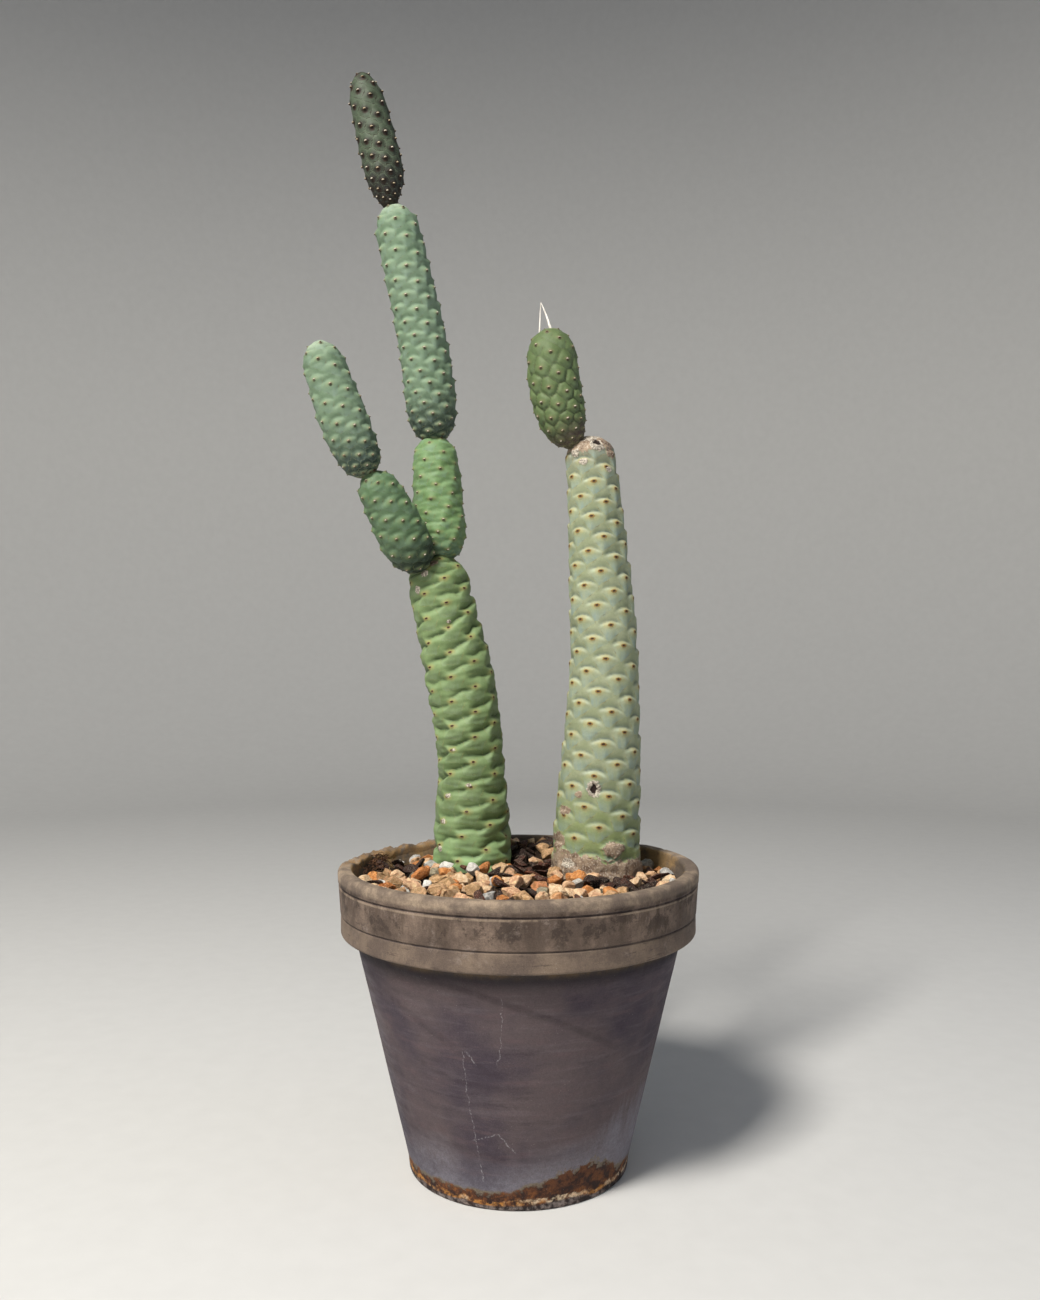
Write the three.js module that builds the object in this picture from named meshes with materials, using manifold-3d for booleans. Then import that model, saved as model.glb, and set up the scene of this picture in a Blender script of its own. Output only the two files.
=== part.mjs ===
// Potted tephrocactus strobiliformis: two rooted cuttings of a jointed cactus in a clay pot.
//
// The pot is one hollow turned piece. The potting mix inside it is one piece, with its gravel
// and bark chips fused to its top and a plain hole for each trunk. Each joint of the cactus is a
// separate piece, because the joints grow one on another and come apart at a narrow neck.
// Millimetres, +Z up, +X to the right and +Y to the back. The pot's axis is X = 0, Y = 0 until the
// whole is moved so that its origin is the middle of its box, on the surface that the pot stands on.

import * as THREE from 'three';
import { mergeVertices } from 'three/addons/utils/BufferGeometryUtils.js';
import Module from 'manifold-3d';

const wasm = await Module();
wasm.setup();

// Clearance kept between two pieces that touch, and at the necks of the joints.
const FIT_GAP = 0.3;
const NECK_GAP = 0.45;

// Pot: a hand-finished flared clay pot, wheel-turned, with a banded rim.
const POT_SIDES = 48;
const RIM_RADIUS = 105.3;
const RIM_TOP = 173.6;
const LIP_INNER_RADIUS = 96.6;
const UPPER_GROOVE_Z = 165.4;
const LOWER_GROOVE_Z = 148;
const GROOVE_DEPTH = 0.8;
const GROOVE_WIDTH = 1.8;
const UPPER_BAND_RADIUS = 104.7;
const LOWER_BAND_RADIUS = 103.3;
const BAND_BOTTOM_Z = 136.5;
const BODY_TOP_RADIUS = 95.4;
const FOOT_RADIUS = 64;
const FOOT_HEIGHT = 6;
const FLOOR_Z = 12;
const WALL = 8.4;
const DRAIN_RADIUS = 10;

// Potting mix: its level at the wall and in the middle, and the gravel and bark that cover it.
const MIX_EDGE_Z = 161.2;
const MIX_MIDDLE_Z = 165.2;
const STONE_COUNT = 112;
const STONE_HALF_LENGTH = [7, 10];
const STONE_HALF_WIDTH = [6, 8.2];
const STONE_HALF_HEIGHT = [4.6, 5.8];
const STONE_JITTER = 2.6;
const CHIP_COUNT = 14;
const CHIP_LENGTH = [11, 17];
const CHIP_WIDTH = [4, 6];
const CHIP_THICK = 2.2;

// Trunk feet: how deep they stand in the mix, and how they narrow on the way down.
const BURIED = 38;
const FOOT_SIDES = 24;
const FOOT_TAPER = 0.66;
const FOOT_MARGIN = 0.6;

// Sunflower spiral, in degrees: the turn from one stone to the next one out.
const GOLDEN_TURN = 137.508;

// Cactus joints, each from its base to its tip.
// axis: the middle line. stations: [share of the length, radius]. baseShare and tipShare: the
// lengths over which the ends round off. neck: the base's radius as a share of the first station's.
// Their areoles stand on one spiral. turn: degrees from one areole to the next above it. rise: how
// far the spiral climbs from one to the next, on average. crowding: the share by which it climbs
// less at the base and more at the tip. phase: where it starts, in degrees. neighbours: the counts
// of the two plainest slanting rows, so that areole k touches k + 3, k + 5 and k + 8, for example.
// valley and bump: the relief.
const JOINTS = {
  trunk_left: {
    axis: [[-28.9, 42, 156], [-28.9, 42, 192], [-29, 42, 218], [-31, 42, 243], [-34.4, 42, 268],
      [-39.2, 42, 293], [-44.8, 42, 318], [-50, 42, 341], [-53.2, 42, 357.5]],
    stations: [[0, 24], [0.2, 22.2], [0.34, 19.9], [0.5, 20.2], [0.62, 20.8], [0.8, 19.2], [1, 17.4]],
    baseShare: 0.02, tipShare: 0.1, neck: 0.97, rise: 1.66, crowding: 0, turn: 79.28, phase: 115.8,
    neighbours: [5, 4], mirrored: true, valley: 1.5, bump: 0.7, colour: 0x7f9463,
  },
  trunk_right: {
    axis: [[47.4, 22, 156], [47.4, 22, 189], [48.6, 22, 207.5], [51, 22, 256], [51.9, 22, 298.6],
      [49.5, 22, 341], [46.1, 22, 389.7], [42.4, 22, 427.4]],
    stations: [[0, 26.9], [0.13, 25.7], [0.3, 23.4], [0.47, 20.7], [0.6, 19.6], [0.75, 17.6], [0.9, 15.4],
      [1, 14.2]],
    baseShare: 0.02, tipShare: 0.045, neck: 0.97, rise: 1.502, crowding: 0.09, turn: 137.65, phase: 197.3,
    neighbours: [3, 5], mirrored: true, valley: 1.2, bump: 0.7, colour: 0xa3aa92,
  },
  segment_mid_lower: {
    axis: [[-48.4, 44, 354.5], [-50.6, 47, 394], [-53.4, 48, 433]],
    stations: [[0, 14.6], [0.3, 15.9], [0.6, 14.9], [1, 12.6]],
    baseShare: 0.22, tipShare: 0.16, neck: 0.44, rise: 1.065, crowding: 0.42, turn: 136.58, phase: 182.1,
    neighbours: [3, 5], valley: 1.1, bump: 1.2, colour: 0x6f8c66,
  },
  segment_mid_long: {
    axis: [[-53.6, 48, 430.5], [-55.2, 47, 456], [-58.4, 45.5, 481], [-63, 43.5, 506], [-68.4, 41.5, 530],
      [-73.8, 40, 554], [-78.6, 39, 575]],
    stations: [[0, 14.6], [0.2, 15.8], [0.5, 14.8], [0.85, 13.8], [1, 12.8]],
    baseShare: 0.15, tipShare: 0.1, neck: 0.46, rise: 1.114, crowding: 0.36, turn: 137.18, phase: 31.9,
    neighbours: [3, 5], mirrored: true, valley: 1, bump: 1.2, colour: 0x879d85,
  },
  segment_top: {
    axis: [[-79.8, 38.6, 572.5], [-83.6, 36.8, 596], [-89.2, 34.2, 620], [-97.4, 31.6, 654]],
    stations: [[0, 10.6], [0.35, 12.2], [0.7, 11.2], [1, 9.4]],
    baseShare: 0.3, tipShare: 0.24, neck: 0.4, rise: 0.79, crowding: 0.63, turn: 98.97, phase: 294.1,
    neighbours: [4, 7], mirrored: true, valley: 0.8, bump: 1.3, colour: 0x545b46,
  },
  segment_left_lower: {
    axis: [[-58.6, 31, 348.6], [-68.2, 23.5, 364], [-77, 18, 382], [-89.8, 12, 405]],
    stations: [[0, 13.4], [0.36, 15.2], [0.7, 13.6], [1, 10.6]],
    baseShare: 0.3, tipShare: 0.18, neck: 0.4, rise: 1.1, crowding: 0.17, turn: 98.5, phase: 289.2,
    neighbours: [4, 7], mirrored: true, valley: 1.1, bump: 1.1, colour: 0x5f7f5c,
  },
  segment_left_upper: {
    axis: [[-90, 12, 403], [-99.4, 9.8, 424], [-107.2, 8, 444], [-119.8, 5.6, 481.4]],
    stations: [[0, 12.8], [0.4, 14.9], [0.7, 13.6], [1, 11.4]],
    baseShare: 0.26, tipShare: 0.16, neck: 0.6, rise: 1.056, crowding: 0.64, turn: 99.03, phase: 291,
    neighbours: [4, 7], mirrored: true, valley: 1, bump: 1.2, colour: 0x869b83,
  },
  segment_right_top: {
    axis: [[35.4, 17.6, 421.5], [28.4, 16.6, 433], [23.5, 15.4, 449], [20.2, 14, 471], [19.4, 13, 491]],
    stations: [[0, 11.4], [0.35, 14.8], [0.65, 15], [1, 12.8]],
    baseShare: 0.3, tipShare: 0.22, neck: 0.38, rise: 0.9, crowding: 0.55, turn: 99.27, phase: 209,
    neighbours: [4, 7], mirrored: true, valley: 1.1, bump: 1, colour: 0x59704a,
  },
};

// The joints that are rooted in the mix.
const TRUNKS = ['trunk_left', 'trunk_right'];

// Areole mound: the share of the way from the areole to the crease where its foot lies.
const AREOLE_FOOT_SHARE = 0.2;
// How far the tubercle's shoulder stands out, as a share of the areole's bump.
const SHOULDER_SHARE = 0.35;

// The papery spines at the tip of the short joint on the right: two flat blades that lean together.
const SPINE_WIDTH = 1.7;
const SPINE_TIP_WIDTH = 0.7;
const SPINE_THICK = 0.7;
const SPINE_MEETING = [13.6, 12.5, 506.8];
const SPINE_FEET = [[12.2, 12.5, 486.5], [19.8, 12.5, 488.5]];

// A repeatable run of numbers from 0 to 1.
function seeded(seed) {
  let state = seed;
  return () => {
    state = (state * 1664525 + 1013904223) % 4294967296;
    return state / 4294967296;
  };
}

// A closed mesh with its shared corners merged, as a solid.
function solidOf(geometry) {
  const bare = geometry.clone();
  bare.deleteAttribute('normal');
  bare.deleteAttribute('uv');
  const merged = mergeVertices(bare, 1e-4);
  return new wasm.Manifold(new wasm.Mesh({
    numProp: 3,
    vertProperties: new Float32Array(merged.attributes.position.array),
    triVerts: new Uint32Array(merged.index.array),
  }));
}

// A solid back as a mesh.
function geometryOf(solid) {
  const mesh = solid.getMesh();
  const geometry = new THREE.BufferGeometry();
  geometry.setAttribute('position', new THREE.BufferAttribute(new Float32Array(mesh.vertProperties), 3));
  geometry.setIndex(new THREE.BufferAttribute(new Uint32Array(mesh.triVerts), 1));
  return geometry;
}

// A profile of [radius, height] pairs turned about the Z axis.
function turned(profile, sides) {
  const geometry = new THREE.LatheGeometry(profile.map(([r, z]) => new THREE.Vector2(r, z)), sides);
  return geometry.rotateX(Math.PI / 2);
}

// A smooth curve through [share, value] stations, read at a share.
function valueAt(stations, share) {
  const last = stations.length - 1;
  const next = THREE.MathUtils.clamp(stations.findIndex(([place]) => place > share), 1, last);
  const at = share >= stations[last][0] ? last : next;
  const slope = (index) => {
    const [x0, y0] = stations[Math.max(0, index - 1)];
    const [x1, y1] = stations[Math.min(last, index + 1)];
    return (y1 - y0) / (x1 - x0);
  };
  const [from, start] = stations[at - 1];
  const [to, end] = stations[at];
  const span = to - from;
  const t = (share - from) / span;
  return start * (1 + 2 * t) * (1 - t) ** 2 + end * t * t * (3 - 2 * t)
    + span * t * (1 - t) * (slope(at - 1) * (1 - t) - slope(at) * t);
}

// A joint's radius at a share of its length, without its relief.
function radiusAt(joint, share) {
  const { stations, baseShare, tipShare, neck } = joint;
  let radius = valueAt(stations, share);
  if (share < baseShare) {
    const turn = 1 - share / baseShare;
    radius *= neck + (1 - neck) * Math.sqrt(1 - turn * turn);
  }
  if (share > 1 - tipShare) {
    const turn = (share - 1 + tipShare) / tipShare;
    radius *= Math.sqrt(Math.max(0, 1 - turn * turn));
  }
  return radius;
}

// A joint's skin as a function of the turn round its axis and the way along its outline.
function skinOf(joint) {
  const steps = 400;
  const curve = new THREE.CatmullRomCurve3(joint.axis.map((point) => new THREE.Vector3(...point)));
  const length = curve.getLength();
  const climb = length / steps;
  const way = [0];
  for (let step = 1; step <= steps; step += 1) {
    const widening = radiusAt(joint, step / steps) - radiusAt(joint, (step - 1) / steps);
    way.push(way[step - 1] + Math.hypot(climb, widening));
  }
  const total = way[steps];
  const shareAt = (distance) => {
    const next = Math.min(steps, Math.max(1, way.findIndex((mark) => mark >= distance)));
    return (next - 1 + (distance - way[next - 1]) / (way[next] - way[next - 1])) / steps;
  };
  const pointAt = (turn, distance, lift) => {
    const share = THREE.MathUtils.clamp(shareAt(distance), 0, 1);
    const after = Math.min(1, share + 1 / steps);
    const before = Math.max(0, share - 1 / steps);
    const widening = (radiusAt(joint, after) - radiusAt(joint, before)) / (2 * climb);
    const outward = 1 / Math.hypot(1, widening);
    const tangent = curve.getTangentAt(share);
    const side = new THREE.Vector3(0, 1, 0).cross(tangent).normalize();
    const back = tangent.clone().cross(side);
    const reach = radiusAt(joint, share) + lift * outward;
    return curve.getPointAt(share)
      .addScaledVector(side, reach * Math.cos(turn))
      .addScaledVector(back, reach * Math.sin(turn))
      .addScaledVector(tangent, -lift * outward * widening);
  };
  const endAt = (share, growth) => curve.getPointAt(share).addScaledVector(curve.getTangentAt(share), growth);
  return { pointAt, endAt, total };
}

// A joint's body. An areole sits at each point of the spiral, and its neighbours are the areoles
// that are one step on and back along each of its three slanting rows, so six creases bound its
// tubercle. Each tubercle is a ring of six crease corners, a raised shoulder of three corners and
// the areole's own mound.
function tubercledBody(joint, growth) {
  const { pointAt, endAt, total } = skinOf(joint);
  const places = total / joint.rise;
  const count = Math.ceil(places) - 1;
  const [toRight, toLeft] = joint.neighbours;
  const toTop = toRight + toLeft;
  const radians = Math.PI / 180;
  const hand = joint.mirrored ? -1 : 1;
  const turnOver = (steps) => steps * joint.turn - 360 * Math.round(steps * joint.turn / 360);
  const wayOf = (order) => {
    const share = order / places;
    return total * share * (1 - joint.crowding * (1 - share));
  };
  const corners = [];
  const triangles = [];
  const addCorner = (point) => {
    corners.push(point.x, point.y, point.z);
    return corners.length / 3 - 1;
  };
  const addTriangle = (a, b, c) => {
    triangles.push(...(joint.mirrored ? [a, c, b] : [a, b, c]));
  };
  const place = (order, extraTurn, extraOrder, lift) => pointAt(
    hand * ((order + 1) * joint.turn + extraTurn + joint.phase) * radians,
    wayOf(order + 1 + extraOrder),
    lift + growth,
  );
  const areoles = [];
  for (let order = 0; order < count; order += 1) {
    areoles.push(addCorner(place(order, 0, 0, joint.bump)));
  }
  // A crease corner lies in the middle of three neighbours: this areole, the one at the top and
  // one at the side.
  const creaseBeside = (order, toSide) => addCorner(place(
    order,
    (turnOver(toSide) + turnOver(toTop)) / 3,
    (toSide + toTop) / 3,
    -joint.valley,
  ));
  const creasesRight = [];
  const creasesLeft = [];
  for (let order = 0; order + toTop < count; order += 1) {
    creasesRight.push(creaseBeside(order, toRight));
    creasesLeft.push(creaseBeside(order, toLeft));
  }
  const isWhole = (order) => order >= toTop && order + toTop < count;
  const cornerVector = (index) => new THREE.Vector3().fromArray(corners, 3 * index);
  for (let order = toTop; order + toTop < count; order += 1) {
    const ring = [creasesRight[order], creasesLeft[order], creasesRight[order - toRight],
      creasesLeft[order - toTop], creasesRight[order - toTop], creasesLeft[order - toLeft]];
    const middle = place(order, 0, 0, joint.bump * SHOULDER_SHARE);
    const shoulder = [0, 2, 4].map((corner) => addCorner(
      middle.clone().lerp(cornerVector(ring[corner]), AREOLE_FOOT_SHARE),
    ));
    for (let third = 0; third < 3; third += 1) {
      const [a, b, c] = [ring[2 * third], ring[2 * third + 1], ring[(2 * third + 2) % 6]];
      const [p, q] = [shoulder[third], shoulder[(third + 1) % 3]];
      addTriangle(a, b, p);
      addTriangle(b, q, p);
      addTriangle(b, c, q);
      addTriangle(p, q, areoles[order]);
    }
  }
  // The part tubercles at both ends are plain fans. An edge between two of the outermost areoles
  // has a crease on one side only, and the middle point of that end on the other.
  const addEdge = (from, to, right, left, endOnRight, endOnLeft) => {
    if (right !== undefined && left !== undefined) {
      if (!isWhole(from)) addTriangle(areoles[from], right, left);
      if (!isWhole(to)) addTriangle(areoles[to], left, right);
    } else if (right === undefined) {
      addTriangle(areoles[from], areoles[to], left);
      addTriangle(areoles[to], areoles[from], endOnRight);
    } else {
      addTriangle(areoles[to], areoles[from], right);
      addTriangle(areoles[from], areoles[to], endOnLeft);
    }
  };
  const baseEnd = addCorner(endAt(0, -growth));
  const tipEnd = addCorner(endAt(1, growth));
  for (let order = 0; order + toRight < count; order += 1) {
    addEdge(order, order + toRight, creasesLeft[order - toLeft], creasesRight[order], baseEnd, tipEnd);
  }
  for (let order = 0; order + toLeft < count; order += 1) {
    addEdge(order, order + toLeft, creasesLeft[order], creasesRight[order - toRight], tipEnd, baseEnd);
  }
  for (let order = 0; order + toTop < count; order += 1) {
    addEdge(order, order + toTop, creasesRight[order], creasesLeft[order]);
  }
  const geometry = new THREE.BufferGeometry();
  geometry.setAttribute('position', new THREE.Float32BufferAttribute(corners, 3));
  geometry.setIndex(triangles);
  return solidOf(geometry);
}

// The plain round foot of a trunk, tapered where it is buried, or with a gap the hole that it
// stands in, which goes on straight up through the gravel.
function footOf(joint, gap, top) {
  const [x, y] = joint.axis[0];
  const radius = joint.stations[0][1] + joint.bump + FOOT_MARGIN + gap;
  const level = MIX_EDGE_Z - 1;
  const low = level - BURIED - gap;
  const profile = [[0, low], [radius * FOOT_TAPER, low], [radius, level]];
  if (top > level) profile.push([radius, top]);
  profile.push([0, Math.max(top, level)]);
  return solidOf(turned(profile, FOOT_SIDES).translate(x, y, 0));
}

// The pot's inner wall, from the floor up, moved inwards by a gap.
function innerWall(gap) {
  const slope = (BODY_TOP_RADIUS - FOOT_RADIUS) / (BAND_BOTTOM_Z - FOOT_HEIGHT);
  const floorRadius = FOOT_RADIUS + slope * FLOOR_Z - WALL;
  return [
    [floorRadius - 2.4 - gap, FLOOR_Z + gap],
    [floorRadius - gap, FLOOR_Z + 2.4 + gap],
    [LIP_INNER_RADIUS - gap, RIM_TOP - 5],
  ];
}

// The outline of a turned groove, from below it to above it.
function grooveAt(height, below, above) {
  return [
    [below, height - GROOVE_WIDTH / 2],
    [below - GROOVE_DEPTH, height],
    [above, height + GROOVE_WIDTH / 2],
  ];
}

function buildPot() {
  const lipMiddle = (RIM_RADIUS + LIP_INNER_RADIUS) / 2;
  return solidOf(turned([
    [DRAIN_RADIUS + 1, 0],
    [FOOT_RADIUS - 1.6, 0],
    [FOOT_RADIUS - 0.2, 1.4],
    [FOOT_RADIUS, FOOT_HEIGHT],
    [BODY_TOP_RADIUS, BAND_BOTTOM_Z],
    [LOWER_BAND_RADIUS - 1.4, BAND_BOTTOM_Z],
    [LOWER_BAND_RADIUS - 0.2, BAND_BOTTOM_Z + 1.4],
    ...grooveAt(LOWER_GROOVE_Z, LOWER_BAND_RADIUS, LOWER_BAND_RADIUS + 0.4),
    ...grooveAt(UPPER_GROOVE_Z, UPPER_BAND_RADIUS, RIM_RADIUS - 0.3),
    [RIM_RADIUS, UPPER_GROOVE_Z + 2.8],
    [RIM_RADIUS - 0.9, RIM_TOP - 1.6],
    [lipMiddle + 1.6, RIM_TOP],
    [lipMiddle - 1.2, RIM_TOP],
    [LIP_INNER_RADIUS + 0.8, RIM_TOP - 1.8],
    ...innerWall(0).reverse(),
    [DRAIN_RADIUS + 1, FLOOR_Z],
    [DRAIN_RADIUS, FLOOR_Z - 1],
    [DRAIN_RADIUS, 1],
    [DRAIN_RADIUS + 1, 0],
  ], POT_SIDES));
}

// The level of the mix under its gravel, at a distance from the pot's axis.
function mixLevel(distance) {
  const share = Math.min(1, distance / LIP_INNER_RADIUS);
  return MIX_MIDDLE_Z - (MIX_MIDDLE_Z - MIX_EDGE_Z) * share * share;
}

// The larger of a mesh's shells: a gap that the stones seal between them is left out.
function outerShell(geometry) {
  const owner = Array.from({ length: geometry.attributes.position.count }, (_, index) => index);
  const find = (index) => {
    let root = index;
    while (owner[root] !== root) root = owner[root];
    owner[index] = root;
    return root;
  };
  const indices = geometry.index.array;
  for (let at = 0; at < indices.length; at += 3) {
    owner[find(indices[at + 1])] = find(indices[at]);
    owner[find(indices[at + 2])] = find(indices[at]);
  }
  const shells = new Map();
  for (let at = 0; at < indices.length; at += 3) {
    const root = find(indices[at]);
    if (!shells.has(root)) shells.set(root, []);
    shells.get(root).push(indices[at], indices[at + 1], indices[at + 2]);
  }
  const largest = [...shells.values()].reduce((best, shell) => (shell.length > best.length ? shell : best));
  const shellOnly = geometry.clone();
  shellOnly.setIndex(largest);
  return mergeVertices(shellOnly.toNonIndexed(), 1e-5);
}

// The potting mix: a plug that fills the pot, stones spread over it on a sunflower spiral, and
// bark chips lying among them, all one solid, trimmed at the wall and bored for the two trunks.
function buildPottingMix() {
  const random = seeded(41);
  const between = ([least, most]) => THREE.MathUtils.lerp(least, most, random());
  const leaning = (most) => most * (2 * random() - 1);
  const [low, corner, lip] = innerWall(FIT_GAP);
  const edgeRadius = THREE.MathUtils.mapLinear(MIX_EDGE_Z, corner[1], lip[1], corner[0], lip[0]);
  const plug = [[0, low[1]], low, corner, [edgeRadius, mixLevel(edgeRadius)]];
  for (const radius of [66, 33]) plug.push([radius, mixLevel(radius)]);
  plug.push([0, MIX_MIDDLE_Z]);
  let mix = solidOf(turned(plug, POT_SIDES));
  for (let stone = 0; stone < STONE_COUNT; stone += 1) {
    const distance = edgeRadius * Math.sqrt((stone + 0.5) / STONE_COUNT);
    const turn = THREE.MathUtils.degToRad(stone * GOLDEN_TURN);
    const x = distance * Math.cos(turn) + leaning(STONE_JITTER);
    const y = distance * Math.sin(turn) + leaning(STONE_JITTER);
    const geometry = new THREE.OctahedronGeometry(1, 0);
    geometry.scale(between(STONE_HALF_LENGTH), between(STONE_HALF_WIDTH), between(STONE_HALF_HEIGHT));
    geometry.rotateX(leaning(0.35)).rotateZ(leaning(Math.PI));
    mix = mix.add(solidOf(geometry.translate(x, y, mixLevel(distance) + between([0.2, 0.7]))));
  }
  for (let chip = 0; chip < CHIP_COUNT; chip += 1) {
    const turn = THREE.MathUtils.degToRad(24 + chip * GOLDEN_TURN);
    const distance = edgeRadius * Math.sqrt((chip + 3) / (CHIP_COUNT + 4));
    const geometry = new THREE.BoxGeometry(between(CHIP_LENGTH), between(CHIP_WIDTH), CHIP_THICK);
    geometry.rotateY(leaning(0.25)).rotateX(leaning(0.4)).rotateZ(leaning(Math.PI));
    const height = mixLevel(distance) + CHIP_THICK;
    mix = mix.add(solidOf(geometry.translate(distance * Math.cos(turn), distance * Math.sin(turn), height)));
  }
  mix = mix.intersect(solidOf(turned([[0, low[1]], low, corner, lip, [0, lip[1]]], POT_SIDES)));
  for (const name of TRUNKS) mix = mix.subtract(footOf(JOINTS[name], FIT_GAP, RIM_TOP));
  return outerShell(geometryOf(mix));
}

// One papery spine: a flat blade from its foot, sunk in the joint's tip, to where the two meet.
function spineBlade(foot) {
  const start = new THREE.Vector3(...foot);
  const up = new THREE.Vector3(...SPINE_MEETING).sub(start);
  const outline = new THREE.Shape([
    new THREE.Vector2(-SPINE_WIDTH / 2, 0),
    new THREE.Vector2(SPINE_WIDTH / 2, 0),
    new THREE.Vector2(SPINE_TIP_WIDTH / 2, up.length()),
    new THREE.Vector2(-SPINE_TIP_WIDTH / 2, up.length()),
  ]);
  const geometry = new THREE.ExtrudeGeometry(outline, { depth: SPINE_THICK, bevelEnabled: false });
  geometry.translate(0, 0, -SPINE_THICK / 2);
  up.normalize();
  const across = new THREE.Vector3(0, 1, 0).cross(up).normalize();
  const turn = new THREE.Matrix4().makeBasis(across, up, across.clone().cross(up));
  return solidOf(geometry.applyMatrix4(turn).translate(start.x, start.y, start.z));
}

const solids = {};
for (const name of TRUNKS) {
  solids[name] = tubercledBody(JOINTS[name], 0).add(footOf(JOINTS[name], 0, 0));
}

// Each joint above is trimmed by a gap round the one that it grows on.
const GROWS_ON = {
  segment_mid_lower: ['trunk_left'],
  segment_mid_long: ['segment_mid_lower'],
  segment_top: ['segment_mid_long'],
  segment_left_lower: ['trunk_left', 'segment_mid_lower'],
  segment_left_upper: ['segment_left_lower'],
  segment_right_top: ['trunk_right'],
};
for (const [name, parents] of Object.entries(GROWS_ON)) {
  let body = tubercledBody(JOINTS[name], 0);
  for (const parent of parents) body = body.subtract(tubercledBody(JOINTS[parent], NECK_GAP));
  solids[name] = body;
}
for (const foot of SPINE_FEET) {
  solids.segment_right_top = solids.segment_right_top.add(spineBlade(foot));
}

function meshOf(name, geometry, colour, roughness) {
  const material = new THREE.MeshStandardMaterial({ color: colour, roughness, metalness: 0, flatShading: true });
  const mesh = new THREE.Mesh(geometry, material);
  mesh.name = name;
  return mesh;
}

const plant = new THREE.Group();
plant.add(meshOf('pot', geometryOf(buildPot()), 0x75675f, 0.9));
plant.add(meshOf('potting_mix', buildPottingMix(), 0x9a7a5c, 0.95));
for (const [name, solid] of Object.entries(solids)) {
  plant.add(meshOf(name, geometryOf(solid), JOINTS[name].colour, 0.7));
}
const box = new THREE.Box3().setFromObject(plant);
const middle = box.getCenter(new THREE.Vector3());
plant.position.set(-middle.x, -middle.y, -box.min.z);

export default plant;
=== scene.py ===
import functools
import math
import random

import bpy
import numpy as np
from mathutils import Euler, Matrix, Vector, noise


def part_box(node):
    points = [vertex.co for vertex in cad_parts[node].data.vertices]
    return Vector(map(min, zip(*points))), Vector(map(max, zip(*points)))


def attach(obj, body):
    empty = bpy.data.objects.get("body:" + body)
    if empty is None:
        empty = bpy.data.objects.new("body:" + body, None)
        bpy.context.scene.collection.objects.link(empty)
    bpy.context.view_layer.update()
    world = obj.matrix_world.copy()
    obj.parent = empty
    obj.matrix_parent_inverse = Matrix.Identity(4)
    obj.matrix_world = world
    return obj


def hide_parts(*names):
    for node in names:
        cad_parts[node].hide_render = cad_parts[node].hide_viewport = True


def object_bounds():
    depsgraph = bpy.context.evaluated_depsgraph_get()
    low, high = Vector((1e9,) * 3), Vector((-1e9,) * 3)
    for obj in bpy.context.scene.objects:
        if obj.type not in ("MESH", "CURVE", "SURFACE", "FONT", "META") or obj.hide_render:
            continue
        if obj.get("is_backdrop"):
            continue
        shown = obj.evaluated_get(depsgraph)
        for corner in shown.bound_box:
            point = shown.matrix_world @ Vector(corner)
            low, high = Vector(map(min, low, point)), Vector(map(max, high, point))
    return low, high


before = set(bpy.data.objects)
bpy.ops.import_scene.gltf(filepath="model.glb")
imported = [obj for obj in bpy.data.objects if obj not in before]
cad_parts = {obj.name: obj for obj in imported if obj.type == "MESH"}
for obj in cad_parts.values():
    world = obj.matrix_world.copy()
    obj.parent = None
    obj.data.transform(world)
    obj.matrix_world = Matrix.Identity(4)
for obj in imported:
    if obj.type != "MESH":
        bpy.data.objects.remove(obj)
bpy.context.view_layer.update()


# The setting: a plain pale floor that sweeps up all round, a large soft light from the upper
# left, a weak cool light from the right, and the camera, level and close as in the photograph.
MM = 0.001
POT_LOW, POT_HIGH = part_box("pot")
POT_X = (POT_LOW.x + POT_HIGH.x) / 2
CAMERA_ASIDE = 0.0009
CAMERA_AWAY = 0.664
CAMERA_HEIGHT = 0.2986
CAMERA_LENS = 31.29
SWEEP_RADIUS = 2.4
SWEEP_HEIGHT = 2.2
SWEEP_BEND = 0.8
BEND_STEPS = 10
SWEEP_SIDES = 96


def paint(code):
    """A colour written as in a paint chart, six hexadecimal digits, as the light that it sends back."""
    shares = [int(code[place:place + 2], 16) / 255 for place in (0, 2, 4)]
    linear = [share / 12.92 if share <= 0.04045 else ((share + 0.055) / 1.055) ** 2.4 for share in shares]
    return (*linear, 1.0)


def deselected():
    """Nothing selected, so that the next operator works on its own piece alone."""
    bpy.ops.object.select_all(action="DESELECT")


def turned(name, outline, sides):
    """A closed outline of (radius, height) points in metres, spun about the upright axis."""
    deselected()
    bpy.ops.mesh.primitive_circle_add(vertices=len(outline), radius=1)
    piece = bpy.context.object
    piece.name = name
    for corner, (radius, height) in zip(piece.data.vertices, outline):
        corner.co = (radius, 0, height)
    bpy.ops.object.mode_set(mode="EDIT")
    bpy.ops.mesh.select_all(action="SELECT")
    bpy.ops.mesh.spin(steps=sides, angle=2 * math.pi, center=(0, 0, 0), axis=(0, 0, 1))
    bpy.ops.mesh.select_all(action="SELECT")
    bpy.ops.mesh.remove_doubles(threshold=1e-6)
    bpy.ops.mesh.delete_loose(use_verts=True, use_edges=True)
    bpy.ops.mesh.select_all(action="SELECT")
    bpy.ops.mesh.normals_make_consistent(inside=False)
    bpy.ops.object.mode_set(mode="OBJECT")
    bpy.ops.object.shade_smooth()
    return piece


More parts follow.
